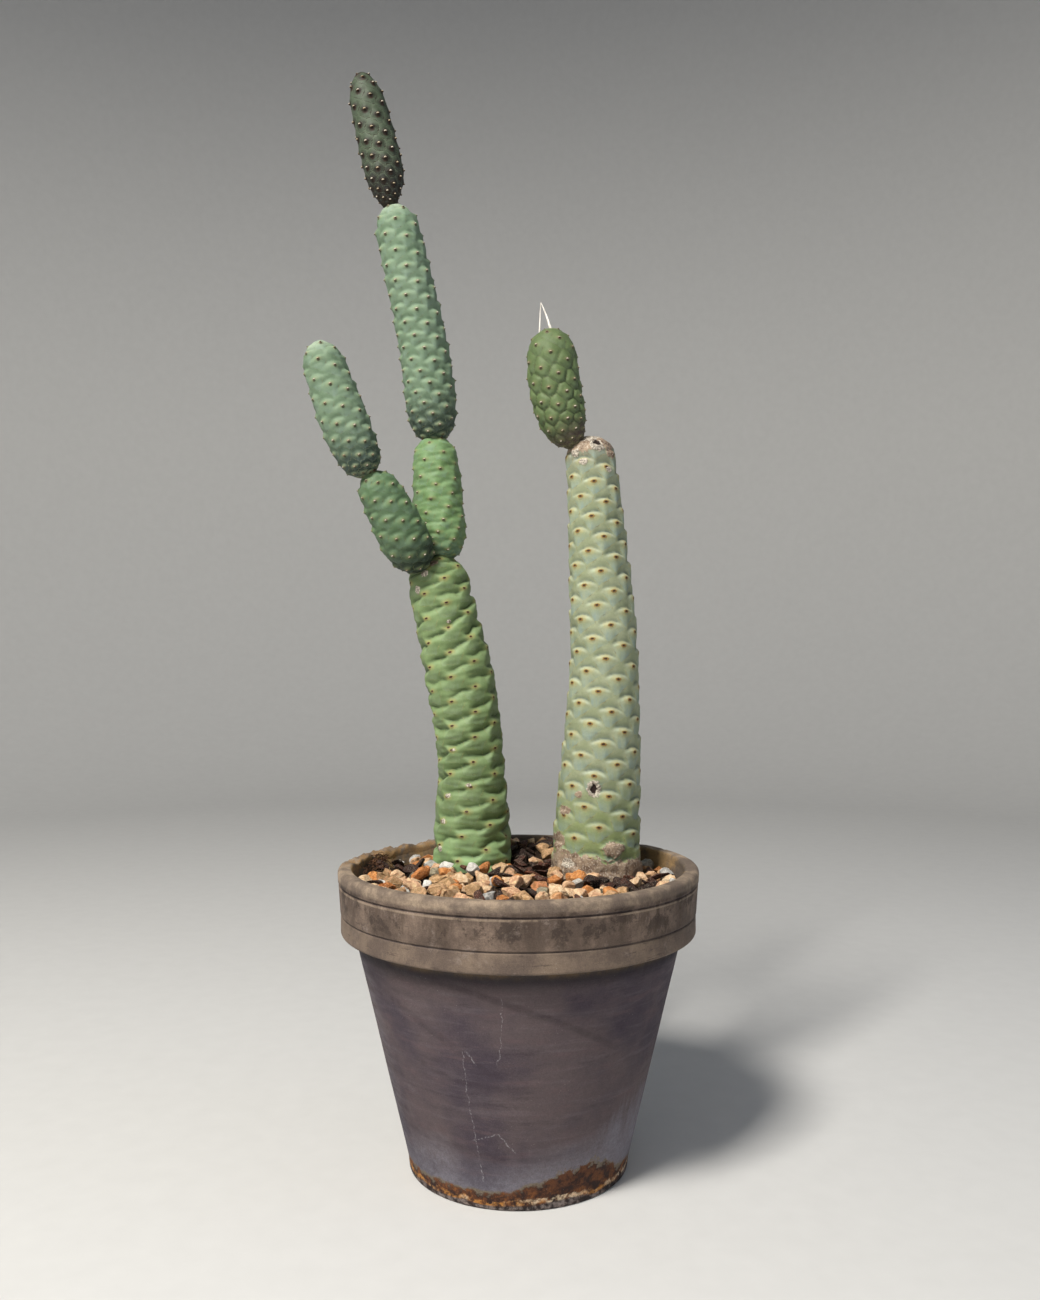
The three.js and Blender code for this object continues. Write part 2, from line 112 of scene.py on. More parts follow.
class Nodes:
    """Short ways to add shader nodes to one tree. Each gives back the socket that it puts out."""

    def __init__(self, tree):
        self.tree = tree

    def add(self, kind, inputs=(), output=0, **settings):
        node = self.tree.nodes.new(kind)
        for setting, value in settings.items():
            setattr(node, setting, value)
        for place, value in dict(inputs).items():
            self.feed(node.inputs[place], value)
        return node.outputs[output]

    def feed(self, socket, value):
        if isinstance(value, bpy.types.NodeSocket):
            self.tree.links.new(value, socket)
        else:
            socket.default_value = value

    def maths(self, operation, first, second=0.0):
        return self.add("ShaderNodeMath", {0: first, 1: second}, operation=operation)

    def product(self, *values):
        return functools.reduce(lambda so_far, value: self.maths("MULTIPLY", so_far, value), values)

    def total(self, *values):
        return functools.reduce(lambda so_far, value: self.maths("ADD", so_far, value), values)

    def less(self, first, second):
        return self.maths("SUBTRACT", first, second)

    def apart(self, first, second):
        return self.maths("ABSOLUTE", self.less(first, second))

    def step(self, value, low, high):
        """0 below low and 1 above high, smooth between. With low above high it falls instead."""
        return self.add("ShaderNodeMapRange", {0: value, 1: low, 2: high, 3: 0.0, 4: 1.0},
                        interpolation_type="SMOOTHSTEP")

    def span(self, value, low, high, start, end):
        return self.add("ShaderNodeMapRange", {0: value, 1: low, 2: high, 3: start, 4: end})

    def mix(self, share, first, second, way="MIX"):
        return self.add("ShaderNodeMix", {0: share, 6: first, 7: second}, output=2,
                        data_type="RGBA", blend_type=way)

    def blend(self, value, low, high, first, second):
        """Two paints: the first where the value is below low, the second where it is above high."""
        return self.mix(self.step(value, low, high), paint(first), paint(second))

    def over(self, tone, code, *masks):
        """The tone under a coat of paint, which shows as far as all the masks let it."""
        return self.mix(self.product(*masks), tone, paint(code))

    def grained(self, tone, share, value, dark, light):
        """The tone made darker and lighter by a value, as grain does."""
        return self.mix(share, tone, self.mix(value, paint(dark), paint(light)), way="OVERLAY")

    def noise(self, at, scale, detail=2.0, roughness=0.5, stretch=None):
        if stretch is not None:
            at = self.add("ShaderNodeMapping", {0: at, 3: stretch})
        return self.add("ShaderNodeTexNoise", {"Vector": at, "Scale": scale, "Detail": detail,
                                               "Roughness": roughness})

    def cells(self, at, scale):
        return self.add("ShaderNodeTexVoronoi", {"Vector": at, "Scale": scale})

    def parts(self, vector):
        node = self.tree.nodes.new("ShaderNodeSeparateXYZ")
        self.tree.links.new(vector, node.inputs[0])
        return node.outputs[0], node.outputs[1], node.outputs[2]

    def object_place(self):
        return self.add("ShaderNodeTexCoord", output=3)

    def attribute(self, name, output=1):
        """What a mesh says about its places: output 1 gives three values, output 2 a single one."""
        return self.add("ShaderNodeAttribute", output=output, attribute_name=name)


def material(name, roughness=0.6, specular=0.4):
    """A new material: its nodes, and its shader with the values that are alike all over."""
    made = bpy.data.materials.new(name)
    made.use_nodes = True
    shader = made.node_tree.nodes["Principled BSDF"]
    shader.inputs["Roughness"].default_value = roughness
    shader.inputs["Specular IOR Level"].default_value = specular
    return made, Nodes(made.node_tree), shader


def bumped(nodes, shader, height, distance, strength=1.0):
    normal = nodes.add("ShaderNodeBump", {"Height": height, "Distance": distance, "Strength": strength})
    nodes.feed(shader.inputs["Normal"], normal)


def soft_light(name, place, aim, size, power, colour):
    light = bpy.data.lights.new(name, "AREA")
    light.size = size
    light.energy = power
    light.color = colour
    lamp = bpy.data.objects.new(name, light)
    lamp.location = place
    lamp.rotation_euler = (Vector(aim) - Vector(place)).to_track_quat("-Z", "Y").to_euler()
    bpy.context.scene.collection.objects.link(lamp)


floor_line = [(0.0, 0.0), (SWEEP_RADIUS - SWEEP_BEND, 0.0)]
for step in range(1, BEND_STEPS + 1):
    bend = math.pi / 2 * step / BEND_STEPS
    floor_line.append((SWEEP_RADIUS - SWEEP_BEND + SWEEP_BEND * math.sin(bend),
                       SWEEP_BEND - SWEEP_BEND * math.cos(bend)))
floor_line += [(SWEEP_RADIUS, SWEEP_HEIGHT), (SWEEP_RADIUS + 0.05, SWEEP_HEIGHT),
               (SWEEP_RADIUS + 0.05, -0.05), (0.0, -0.05)]
pale_floor = turned("pale_floor", floor_line, SWEEP_SIDES)
paper, paper_nodes, paper_shader = material("pale_paper", roughness=0.8, specular=0.2)
paper_grain = paper_nodes.noise(paper_nodes.object_place(), 60.0, 3.0)
paper_nodes.feed(paper_shader.inputs["Base Color"],
                 paper_nodes.mix(paper_grain, paint("cdcdcb"), paint("d4d4d2")))
pale_floor.data.materials.append(paper)
pale_floor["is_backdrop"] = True

soft_light("window", (-0.62, -0.95, 1.62), (0.0, 0.0, 0.25), 0.42, 48.0, (1.0, 0.96, 0.9))
soft_light("front", (-0.8, -1.8, 0.7), (0.0, 0.0, 0.3), 1.0, 4.5, (1.0, 0.98, 0.96))
soft_light("cool_side", (1.3, -0.2, 0.7), (0.0, 0.0, 0.35), 0.8, 1.6, (0.5, 0.66, 1.0))
world = bpy.data.worlds.new("pale_room")
world.use_nodes = True
world.node_tree.nodes["Background"].inputs[0].default_value = (0.82, 0.88, 1.0, 1.0)
world.node_tree.nodes["Background"].inputs[1].default_value = 0.15
bpy.context.scene.world = world
bpy.context.scene.view_settings.view_transform = "Standard"

camera = bpy.data.objects.new("camera", bpy.data.cameras.new("camera"))
camera.location = (POT_X + CAMERA_ASIDE, -CAMERA_AWAY, CAMERA_HEIGHT)
camera.rotation_euler = (math.pi / 2, 0, 0)
camera.data.lens = CAMERA_LENS
bpy.context.scene.collection.objects.link(camera)
bpy.context.scene.camera = camera


# The pot: one piece of unglazed clay, thrown on a wheel, with a deep band, two cut grooves and a
# thick rounded lip. Years of watering have left a rust line at its foot and a pale bloom over it,
# and the lip is worn and chipped at the back on the left.
POT_SIDES = 224
BAND_FOOT = 136.5
LOWER_GROOVE = 148.0
UPPER_GROOVE = 165.4
LIP_TOP = 173.5
POT_OUTLINE = [  # radius, height, bend of the corner, spacing of the points up to it
    (10.0, 0.0, 0.8, 6), (63.6, 0.0, 1.6, 14), (64.2, 6.0, 2.0, 2), (95.4, BAND_FOOT, 1.2, 3.2),
    (103.2, BAND_FOOT, 1.7, 3), (103.2, LOWER_GROOVE - 0.9, 0.3, 2.2), (102.5, LOWER_GROOVE, 0.3, 1),
    (103.5, LOWER_GROOVE + 0.9, 0.3, 1), (104.5, UPPER_GROOVE - 0.9, 0.3, 2.4),
    (103.7, UPPER_GROOVE, 0.3, 1), (104.8, UPPER_GROOVE + 0.9, 0.4, 1), (105.2, LIP_TOP, 4.1, 1),
    (96.7, LIP_TOP, 4.1, 1), (96.7, 168.6, 1.0, 2), (58.5, 14.4, 1.6, 9), (55.0, 12.0, 1.5, 6),
    (10.0, 12.0, 0.8, 12),
]
ARC_STEPS = 5
WOBBLE = 0.35
WORN_TURN = 2.62
WORN_HALF = 0.62
WORN_DEEP = 3.2
SMEARS = (  # from and to as (turn, height), how far it bows, half its width, how dark it is
    ((-1.15, 136.0), (0.78, 82.0), 13.0, 0.7, 0.5), ((-1.2, 122.0), (-0.1, 74.0), 6.0, 1.2, 0.3),
    ((-0.75, 82.0), (0.2, 72.0), -5.0, 0.5, 0.35), ((-0.8, 40.0), (0.6, 33.0), -6.0, 1.0, 0.28),
)
SCRATCHES = (  # from the lower end to the upper one, as (turn, height)
    ((-0.1, 95.0), (-0.09, 122.0)), ((-0.13, 84.0), (-0.1, 96.0)), ((-0.27, 84.0), (-0.34, 92.0)),
    ((-0.34, 58.0), (-0.35, 91.0)), ((-0.28, 16.0), (-0.34, 60.0)), ((-0.33, 40.0), (-0.15, 45.0)),
    ((-0.02, 34.0), (-0.15, 45.0)),
)


def rounded(corners):
    """The outline's points: straight runs at the spacing asked for, and each corner as an arc."""
    points = []
    for place, (x, y, bend, _) in enumerate(corners):
        spot = Vector((x, y))
        before = Vector(corners[place - 1][:2])
        after = Vector(corners[(place + 1) % len(corners)][:2])
        to_before = (before - spot).normalized()
        to_after = (after - spot).normalized()
        half = to_before.angle(to_after) / 2
        reach = min(bend / math.tan(half), 0.45 * (before - spot).length, 0.45 * (after - spot).length)
        start = spot + to_before * reach
        end = spot + to_after * reach
        if points:
            run = start - points[-1]
            count = max(1, round(run.length / corners[place][3]))
            points += [points[-1] + run * (step / count) for step in range(1, count)]
        for step in range(ARC_STEPS + 1):
            share = step / ARC_STEPS
            points.append(start.lerp(spot, share).lerp(spot.lerp(end, share), share))
    return [(point.x * MM, point.y * MM) for point in points]


def corners_of(piece):
    """A mesh's corners as an array of rows of x, y and z."""
    places = np.empty(len(piece.data.vertices) * 3)
    piece.data.vertices.foreach_get("co", places)
    return places.reshape(-1, 3)


def put_corners(piece, places):
    piece.data.vertices.foreach_set("co", np.ascontiguousarray(places, np.float32).ravel())
    piece.data.update()


def noise_at(places, scale, seed=0.0):
    """Smooth noise from -1 to 1 at each place, in features of about one over the scale."""
    return np.array([noise.noise(Vector(place) * scale + Vector((seed, seed, seed))) for place in places])


def eased(value, low, high):
    """0 below low and 1 above high, smooth between. With low above high it falls instead."""
    share = np.clip((value - low) / (high - low), 0, 1)
    return share * share * (3 - 2 * share)


pot = turned("clay_pot", rounded(POT_OUTLINE), POT_SIDES)
places = corners_of(pot)
turn = np.arctan2(places[:, 1], places[:, 0])
radius = np.hypot(places[:, 0], places[:, 1])
height = places[:, 2] / MM
outside = eased(height, 2, 12) * eased(radius / MM, 50, 62)
wobble = 0.5 + 0.5 * noise_at(np.c_[np.cos(turn), np.sin(turn), height / 60], 1.6)
inward = WOBBLE * wobble * outside
nicks = eased(noise_at(places, 130.0, 5.0), 0.42, 0.7) * eased(height, 166, 172)
inward += 0.5 * nicks
worn = eased(np.abs((turn - WORN_TURN + math.pi) % (2 * math.pi) - math.pi), WORN_HALF, WORN_HALF * 0.5)
ragged = 0.55 + 0.7 * noise_at(places, 110.0, 9.0) + 0.5 * noise_at(places, 360.0, 2.0)
drop = WORN_DEEP * worn * np.clip(ragged, 0, 1.4) * eased(height, 163, 172.5)
drop += 0.7 * nicks
band = eased(height, 139, 145) * eased(height, 172, 167)
waver = 0.3 * band * noise_at(np.c_[np.cos(turn), np.sin(turn), 0 * turn], 1.3, 3.0)
places[:, 0] *= 1 - inward * MM / radius
places[:, 1] *= 1 - inward * MM / radius
places[:, 2] += (waver - drop) * MM
places[:, 0] += POT_X
put_corners(pot, places)

clay, nodes, shader = material("weathered_clay", roughness=0.85, specular=0.25)
here = nodes.add("ShaderNodeMapping", {0: nodes.object_place(), 1: (-POT_X, 0.0, 0.0)})
east, north, up = nodes.parts(here)
up_mm = nodes.product(up, 1000.0)
round_turn = nodes.maths("ARCTAN2", east, nodes.product(north, -1.0))  # 0 in front, + right
far_out = nodes.add("ShaderNodeVectorMath", {0: nodes.add("ShaderNodeCombineXYZ", {0: east, 1: north})},
                    output=1, operation="LENGTH")
far_mm = nodes.product(far_out, 1000.0)
broad = nodes.noise(here, 14.0, 4.0, 0.6)
patchy = nodes.noise(here, 45.0, 5.0, 0.65)
fine = nodes.noise(here, 260.0, 4.0, 0.6)
grain = nodes.noise(here, 1500.0, 2.0)
brushed = nodes.noise(here, 30.0, 4.0, 0.6, stretch=(1.0, 1.0, 9.0))
slanted = nodes.noise(nodes.add("ShaderNodeMapping", {0: here, 2: (0.0, -0.5, 0.0), 3: (1.0, 1.0, 6.0)}),
                      34.0, 6.0, 0.72)
body = nodes.blend(broad, 0.36, 0.6, "4b424c", "635759")
body = nodes.over(body, "6c595c", nodes.step(slanted, 0.5, 0.66), 0.4)
body = nodes.over(body, "3a3138", nodes.step(slanted, 0.44, 0.34), 0.3)
body = nodes.over(body, "7a7276", nodes.step(brushed, 0.5, 0.7), 0.25)
# The band: paler clay with smudges, runs of dirt, chalky patches and short dark dashes.
upper_band = nodes.blend(patchy, 0.38, 0.66, "62544b", "877568")
lower_band = nodes.blend(patchy, 0.36, 0.66, "6c5e55", "887768")
band_tone = nodes.mix(nodes.step(up_mm, LOWER_GROOVE + 1.4, LOWER_GROOVE - 0.6), upper_band, lower_band)
smudges = nodes.step(nodes.noise(here, 60.0, 7.0, 0.75), 0.52, 0.6)
band_tone = nodes.over(band_tone, "3d332e", smudges, nodes.step(up_mm, 143.0, 156.0), 0.7)
runs = nodes.step(nodes.noise(here, 90.0, 5.0, 0.65, stretch=(1.0, 1.0, 0.2)), 0.48, 0.6)
band_tone = nodes.over(band_tone, "43372f", runs, nodes.step(up_mm, 143.0, 163.0),
                       nodes.step(broad, 0.36, 0.55), 0.6)
chalky = nodes.step(nodes.noise(here, 85.0, 6.0, 0.7), 0.56, 0.66)
band_tone = nodes.over(band_tone, "a1938a", chalky, nodes.step(fine, 0.35, 0.6), 0.4)
dashes = nodes.noise(here, 60.0, 5.0, 0.75, stretch=(1.0, 1.0, 7.0))
band_tone = nodes.over(band_tone, "453a36", nodes.step(dashes, 0.6, 0.67), 0.6)
tone = nodes.mix(nodes.step(up_mm, BAND_FOOT - 0.7, BAND_FOOT + 0.5), body, band_tone)
lip_tone = nodes.blend(patchy, 0.4, 0.62, "76685d", "aa9782")
tone = nodes.mix(nodes.step(up_mm, UPPER_GROOVE + 1.6, UPPER_GROOVE + 4.1), tone, lip_tone)
# White bloom: a soft band low down that ends in streaks, higher on the right.
rise_right = nodes.step(nodes.apart(round_turn, 1.15), 0.7, 0.15)
combed = nodes.noise(here, 150.0, 4.0, 0.6, stretch=(1.0, 1.0, 0.14))
bloom_top = nodes.total(nodes.span(broad, 0.3, 0.7, 18.0, 44.0),
                        nodes.product(rise_right, nodes.span(combed, 0.35, 0.65, 2.0, 26.0)))
bloom = nodes.product(nodes.span(nodes.less(bloom_top, up_mm), -5.0, 18.0, 0.0, 0.64),
                      nodes.span(fine, 0.3, 0.7, 0.6, 1.1))
at_edge = nodes.product(nodes.step(round_turn, -0.95, -1.3), nodes.step(round_turn, -2.6, -1.8),
                        nodes.step(slanted, 0.4, 0.6), 0.35)
tone = nodes.over(tone, "8c8b97", nodes.maths("MAXIMUM", bloom, at_edge), nodes.step(up_mm, 136.0, 128.0))
# Painted shadow under the band's overhang: the body is darkened towards blue-black just below the band,
# fading out by 123 mm.
tone = nodes.over(tone, "191820", nodes.step(up_mm, 123.0, 133.0),
                  nodes.step(up_mm, BAND_FOOT + 0.4, BAND_FOOT - 0.3), 0.85)


def stroke(start, end, sag, width, softness):
    """A line across the pot's side from one (turn, height) to another, as a mask."""
    share = nodes.span(round_turn, start[0], end[0], 0.0, 1.0)
    line = nodes.span(round_turn, start[0], end[0], start[1], end[1])
    hump = nodes.product(share, nodes.less(1.0, share), 4.0 * sag)
    away = nodes.apart(up_mm, nodes.total(line, hump))
    inside = nodes.product(nodes.step(share, 0.0, 0.08), nodes.step(share, 1.0, 0.86))
    return nodes.product(nodes.step(away, width + softness, width), inside)


for start, end, sag, width, depth in SMEARS:
    smear = stroke(start, end, sag, width, 2.4)
    tone = nodes.over(tone, "372d33", smear, nodes.span(fine, 0.3, 0.7, 0.3, 1.0), depth)
# Thin pale scratches down the front.
scratch_place = nodes.total(round_turn, nodes.product(nodes.less(nodes.noise(here, 260.0, 4.0), 0.5), 0.05))
dots = nodes.step(nodes.noise(here, 900.0, 3.0, 0.7), 0.44, 0.58)
for (turn_low, low), (turn_high, high) in SCRATCHES:
    away = nodes.apart(scratch_place, nodes.span(up_mm, low, high, turn_low, turn_high))
    width = 0.0018 + 0.3 * abs(turn_high - turn_low) / (high - low)
    tone = nodes.over(tone, "b9b6ba", nodes.step(away, 2.0 * width, 0.7 * width),
                      nodes.step(up_mm, low - 0.5, low + 0.5), nodes.step(up_mm, high + 0.5, high - 0.5),
                      dots, 0.42)
# The rust line at the foot, higher towards the right, with an ochre crust and a dark foot.
stain_rise = nodes.product(nodes.step(round_turn, -0.1, 0.6), nodes.step(round_turn, 1.08, 0.62))
stain_high = nodes.span(nodes.noise(here, 70.0, 6.0, 0.7), 0.3, 0.7, 7.0, 21.0)
stain_top = nodes.total(nodes.span(patchy, 0.3, 0.7, 9.0, 14.5), nodes.product(stain_rise, stain_high))
below_top = nodes.less(stain_top, up_mm)
rough = nodes.noise(here, 150.0, 6.0, 0.75)
rust = nodes.blend(rough, 0.4, 0.6, "2e1a12", "6a3f20")
rust = nodes.over(rust, "a9682d", nodes.step(rough, 0.52, 0.68), nodes.step(up_mm, 15.0, 6.0), 0.75)
dried = nodes.total(below_top, nodes.span(rough, 0.3, 0.7, -4.0, 4.0))
rust = nodes.mix(nodes.step(dried, 3.2, 0.4), rust, nodes.mix(rough, paint("4f443b"), paint("a1937d")))
tone = nodes.mix(nodes.product(nodes.step(below_top, -0.6, 1.4), 0.95), tone, rust)
crust_line = nodes.span(nodes.noise(here, 40.0, 4.0), 0.3, 0.7, 3.0, 6.6)
crust_off = nodes.apart(up_mm, nodes.total(crust_line, nodes.span(rough, 0.3, 0.7, -1.5, 1.5)))
crust = nodes.product(nodes.step(crust_off, 1.9, 0.5), nodes.step(fine, 0.4, 0.58))
tone = nodes.mix(crust, tone, nodes.blend(patchy, 0.45, 0.6, "b97f40", "dbc7a8"))
foot = nodes.product(nodes.step(nodes.less(crust_line, up_mm), 0.4, 2.0), 0.9)
tone = nodes.mix(foot, tone, nodes.blend(fine, 0.42, 0.62, "272426", "8d827e"))
# Painted shade in the two grooves, a rubbed edge, the stained inner wall, the bare clay of the worn lip, and
# specks.
for groove_at in (LOWER_GROOVE, UPPER_GROOVE):
    tone = nodes.over(tone, "2b2730", nodes.step(nodes.apart(up_mm, groove_at), 0.7, 0.2),
                      nodes.span(fine, 0.3, 0.7, 0.2, 0.75))
tone = nodes.over(tone, "ad9a86", nodes.step(nodes.apart(up_mm, UPPER_GROOVE - 1.2), 0.7, 0.3),
                  nodes.step(patchy, 0.36, 0.52), 0.55)
inner = nodes.product(nodes.step(far_mm, 98.2, 97.0), nodes.step(up_mm, 130.0, 140.0), 0.8)
tone = nodes.mix(inner, tone, nodes.blend(patchy, 0.42, 0.6, "6d6258", "a98a5c"))
tone = nodes.over(tone, "9c7c55", nodes.step(nodes.apart(round_turn, -2.1), 0.75, 0.4),
                  nodes.step(up_mm, 165.5, 170.0), nodes.step(fine, 0.4, 0.55), 0.8)
tone = nodes.over(tone, "b9b3ac", nodes.step(nodes.cells(here, 420.0), 0.12, 0.04),
                  nodes.step(patchy, 0.52, 0.62), 0.45)
tone = nodes.over(tone, "2c2526", nodes.step(nodes.cells(here, 500.0), 0.12, 0.05), 0.45)
tone = nodes.grained(tone, 0.55, grain, "626262", "cccccc")
tone = nodes.grained(tone, 0.4, nodes.noise(here, 520.0, 4.0, 0.7), "525252", "dadada")
nodes.feed(shader.inputs["Base Color"], tone)
relief = nodes.total(nodes.product(grain, 0.25), nodes.product(fine, 0.5), nodes.product(slanted, 0.5),
                     nodes.product(crust, 0.8))
bumped(nodes, shader, relief, 0.0006, 0.7)
nodes.feed(shader.inputs["Roughness"], nodes.span(fine, 0.3, 0.7, 0.72, 0.92))
pot.data.materials.append(clay)
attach(pot, "root")
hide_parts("pot")


# The soil and its gravel: dark gritty soil that fills the pot to just under the lip, covered with
# broken tan stones, grey stones, white pumice and chips of bark, all laid loose by hand round the
# trunks. A wad of dry roots lies at the back on the left.
MIX_EDGE = 96.3
MIX_MIDDLE_HEIGHT = 164.4
MIX_FALL = 3.6
MOUND = (12.0, 80.0, 36.0)  # the heap at the back: its place and its half-width
MOUND_HEIGHT = 7.5
SOIL_SPACING = 2.2
SOIL_SIDES = 160
STONE_TRIES = 60000
STONE_REACH = 95.4
MIX_INSIDE = 95.6
STONE_COUNTS = (  # kind, how many, smallest, largest
    ("tan", 360, 3.6, 11.5), ("grey", 70, 3.6, 9.0), ("pumice", 64, 3.6, 10.5), ("bark", 230, 3.6, 12.0),
)
STONE_LOOKS = {  # slot, how a stone is drawn out, and its three pairs of tones
    "tan": ("stone_tan", (1.15, 0.92, 0.8),
            (("a07c52", "dab488"), ("c8a37a", "f0dab8"), ("ac682f", "dc9a5c"))),
    "grey": ("stone_grey", (1.1, 0.95, 0.75),
             (("5e5747", "8d846f"), ("746b57", "a99f86"), ("4d473c", "79705d"))),
    "pumice": ("pumice", (1.1, 0.95, 0.82),
               (("b0aea9", "dedcd6"), ("bdbab4", "ebe9e3"), ("9a9996", "d0cec9"))),
    "bark": ("bark", (1.6, 0.72, 0.4),
             (("2c1812", "5a3327"), ("1d1210", "3e241c"), ("44251a", "7a4832"))),
}
BARK_PATCHES = ((14.0, 42.0, 42.0), (-76.0, 28.0, 20.0))  # where bark lies: place and half-width
TRUNK_SPOTS = ((-28.9, 42.0, 24.0), (47.4, 22.0, 27.2))  # the trunks' feet: place and radius
SHAPES = 9
CUTS = 11
ROOT_STRANDS = 46
ROOT_WAD = (-87.0, 30.0, 168.0)
ROOT_REACH = 95.0
ROOT_TOP = 172.6
chance = random.Random(11)


def heaped(x, y, heap):
    """1 in the middle of a heap, and less away from it."""
    return math.exp(-((x - heap[0]) ** 2 + (y - heap[1]) ** 2) / heap[2] ** 2)


def mix_height(x, y):
    """The soil's height at a place measured from the pot's axis, in millimetres."""
    away = math.hypot(x, y)
    return MIX_MIDDLE_HEIGHT - MIX_FALL * (away / MIX_EDGE) ** 2 + MOUND_HEIGHT * heaped(x, y, MOUND)


def broken_stone(name, stretch, cuts):
    """A ball with flat faces cut off it, about 1 across, as stone breaks, its edges a little worn."""
    deselected()
    bpy.ops.mesh.primitive_ico_sphere_add(subdivisions=2, radius=0.55)
    stone = bpy.context.object
    stone.name = name
    bpy.ops.object.mode_set(mode="EDIT")
    for _ in range(cuts):
        bpy.ops.mesh.select_all(action="SELECT")
        way = Vector((chance.gauss(0, 1), chance.gauss(0, 1), chance.gauss(0, 1))).normalized()
        bpy.ops.mesh.bisect(plane_co=way * chance.uniform(0.24, 0.42), plane_no=way, use_fill=True,
                            clear_outer=True)
    bpy.ops.mesh.select_all(action="SELECT")
    bpy.ops.mesh.remove_doubles(threshold=0.06)
    bpy.ops.mesh.dissolve_limited(angle_limit=0.18)
    bpy.ops.mesh.select_all(action="SELECT")
    bpy.ops.mesh.bevel(offset=0.035, segments=1)
    bpy.ops.mesh.select_all(action="SELECT")
    bpy.ops.mesh.quads_convert_to_tris()
    bpy.ops.mesh.normals_make_consistent(inside=False)
    bpy.ops.object.mode_set(mode="OBJECT")
    for corner in stone.data.vertices:
        corner.co *= 1 + chance.gauss(0, 0.035)
    stone.data.transform(Matrix.Diagonal((*stretch, 1.0)))
    return stone


def joined(name, parts):
    """Several objects as one piece."""
    deselected()
    for part in parts:
        part.select_set(True)
    bpy.context.view_layer.objects.active = parts[0]
    bpy.ops.object.join()
    piece = bpy.context.object
    piece.name = name
    return piece


def strewn(name, kinds, places):
    """Copies of the kinds at (kind, matrix, tint) places, each its own mesh, joined to one piece."""
    copies = []
    for kind, matrix, tint in places:
        copy = kinds[kind].copy()
        copy.data = kinds[kind].data.copy()
        copy.data.transform(matrix)
        copy.data.attributes.new("tint", "FLOAT", "POINT")
        copy.data.attributes["tint"].data.foreach_set("value", [tint] * len(copy.data.vertices))
        bpy.context.scene.collection.objects.link(copy)
        copies.append(copy)
    for kind in kinds:
        bpy.data.objects.remove(kind)
    return joined(name, copies)


def drawn_out(name, path, half_widths, half_depths, segments, rings, twist=0.0):
    """A ball drawn out along a path: a strand or a blade, closed at both ends."""
    deselected()
    bpy.ops.mesh.primitive_uv_sphere_add(segments=segments, ring_count=rings, radius=1)
    strand = bpy.context.object
    strand.name = name
    ball = corners_of(strand)
    row = np.round((1 - np.arccos(np.clip(ball[:, 2], -1, 1)) / math.pi) * rings) / rings
    turn = np.arctan2(ball[:, 1], ball[:, 0])
    ends = np.sqrt(np.clip(1 - np.clip(1 - row * rings / 3, 0, 1) ** 2, 0, 1))
    ends *= np.sqrt(np.clip(1 - np.clip(1 - (1 - row) * rings / 3, 0, 1) ** 2, 0, 1))
    path = np.array(path, float)
    spots = np.linspace(0, 1, len(path))
    places = np.stack([np.interp(row, spots, path[:, k]) for k in range(3)], 1)
    along = np.gradient(path, axis=0)
    along = np.stack([np.interp(row, spots, along[:, k]) for k in range(3)], 1)
    along /= np.linalg.norm(along, axis=1)[:, None]
    across = np.cross(along, [0.0, 1.0, 0.0])
    across /= np.maximum(np.linalg.norm(across, axis=1), 1e-6)[:, None]
    deep = np.cross(across, along)
    wide = np.interp(row, [0, 1], half_widths) * ends * np.cos(turn)
    thick = np.interp(row, [0, 1], half_depths) * ends * np.sin(turn)
    bend = twist * (row - 0.5)
    places += across * (wide * np.cos(bend) - thick * np.sin(bend))[:, None]
    places += deep * (wide * np.sin(bend) + thick * np.cos(bend))[:, None]
    places[:, 0] += POT_X / MM
    put_corners(strand, places * MM)
    bpy.ops.object.shade_smooth()
    return strand


soil_line = [(away, 170.0) for away in np.arange(0, MIX_EDGE, SOIL_SPACING)]
soil_line += [(MIX_EDGE, 170.0), (58.2, 15.2), (57.0, 12.5), (0.0, 12.5)]
soil = turned("soil", [(x * MM, z * MM) for x, z in soil_line], SOIL_SIDES)
places = corners_of(soil)
away = np.hypot(places[:, 0], places[:, 1]) / MM
top = places[:, 2] / MM > 150
level = np.array([mix_height(x / MM, y / MM) for x, y, _ in places])
crumbs = 0.9 * noise_at(places, 60.0) + 1.1 * noise_at(places, 190.0, 4.0)
crumbs += 0.8 * noise_at(places, 420.0, 7.0)
crumbs = (crumbs - 0.6) * eased(away, MIX_EDGE, MIX_EDGE - 5)
places[:, 2] = np.where(top, (level + crumbs) * MM, places[:, 2])
places[:, 0] += POT_X
put_corners(soil, places)
dark_soil, nodes, shader = material("dark_soil", roughness=0.95, specular=0.15)
here = nodes.object_place()
crumb = nodes.noise(here, 700.0, 5.0, 0.75)
grit = nodes.cells(here, 520.0)
tone = nodes.blend(crumb, 0.35, 0.7, "1c1512", "473629")
tone = nodes.over(tone, "7c6852", nodes.step(grit, 0.25, 0.12))
nodes.feed(shader.inputs["Base Color"], tone)
bumped(nodes, shader, crumb, 0.0012)
soil.data.materials.append(dark_soil)
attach(soil, "root")
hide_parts("potting_mix")

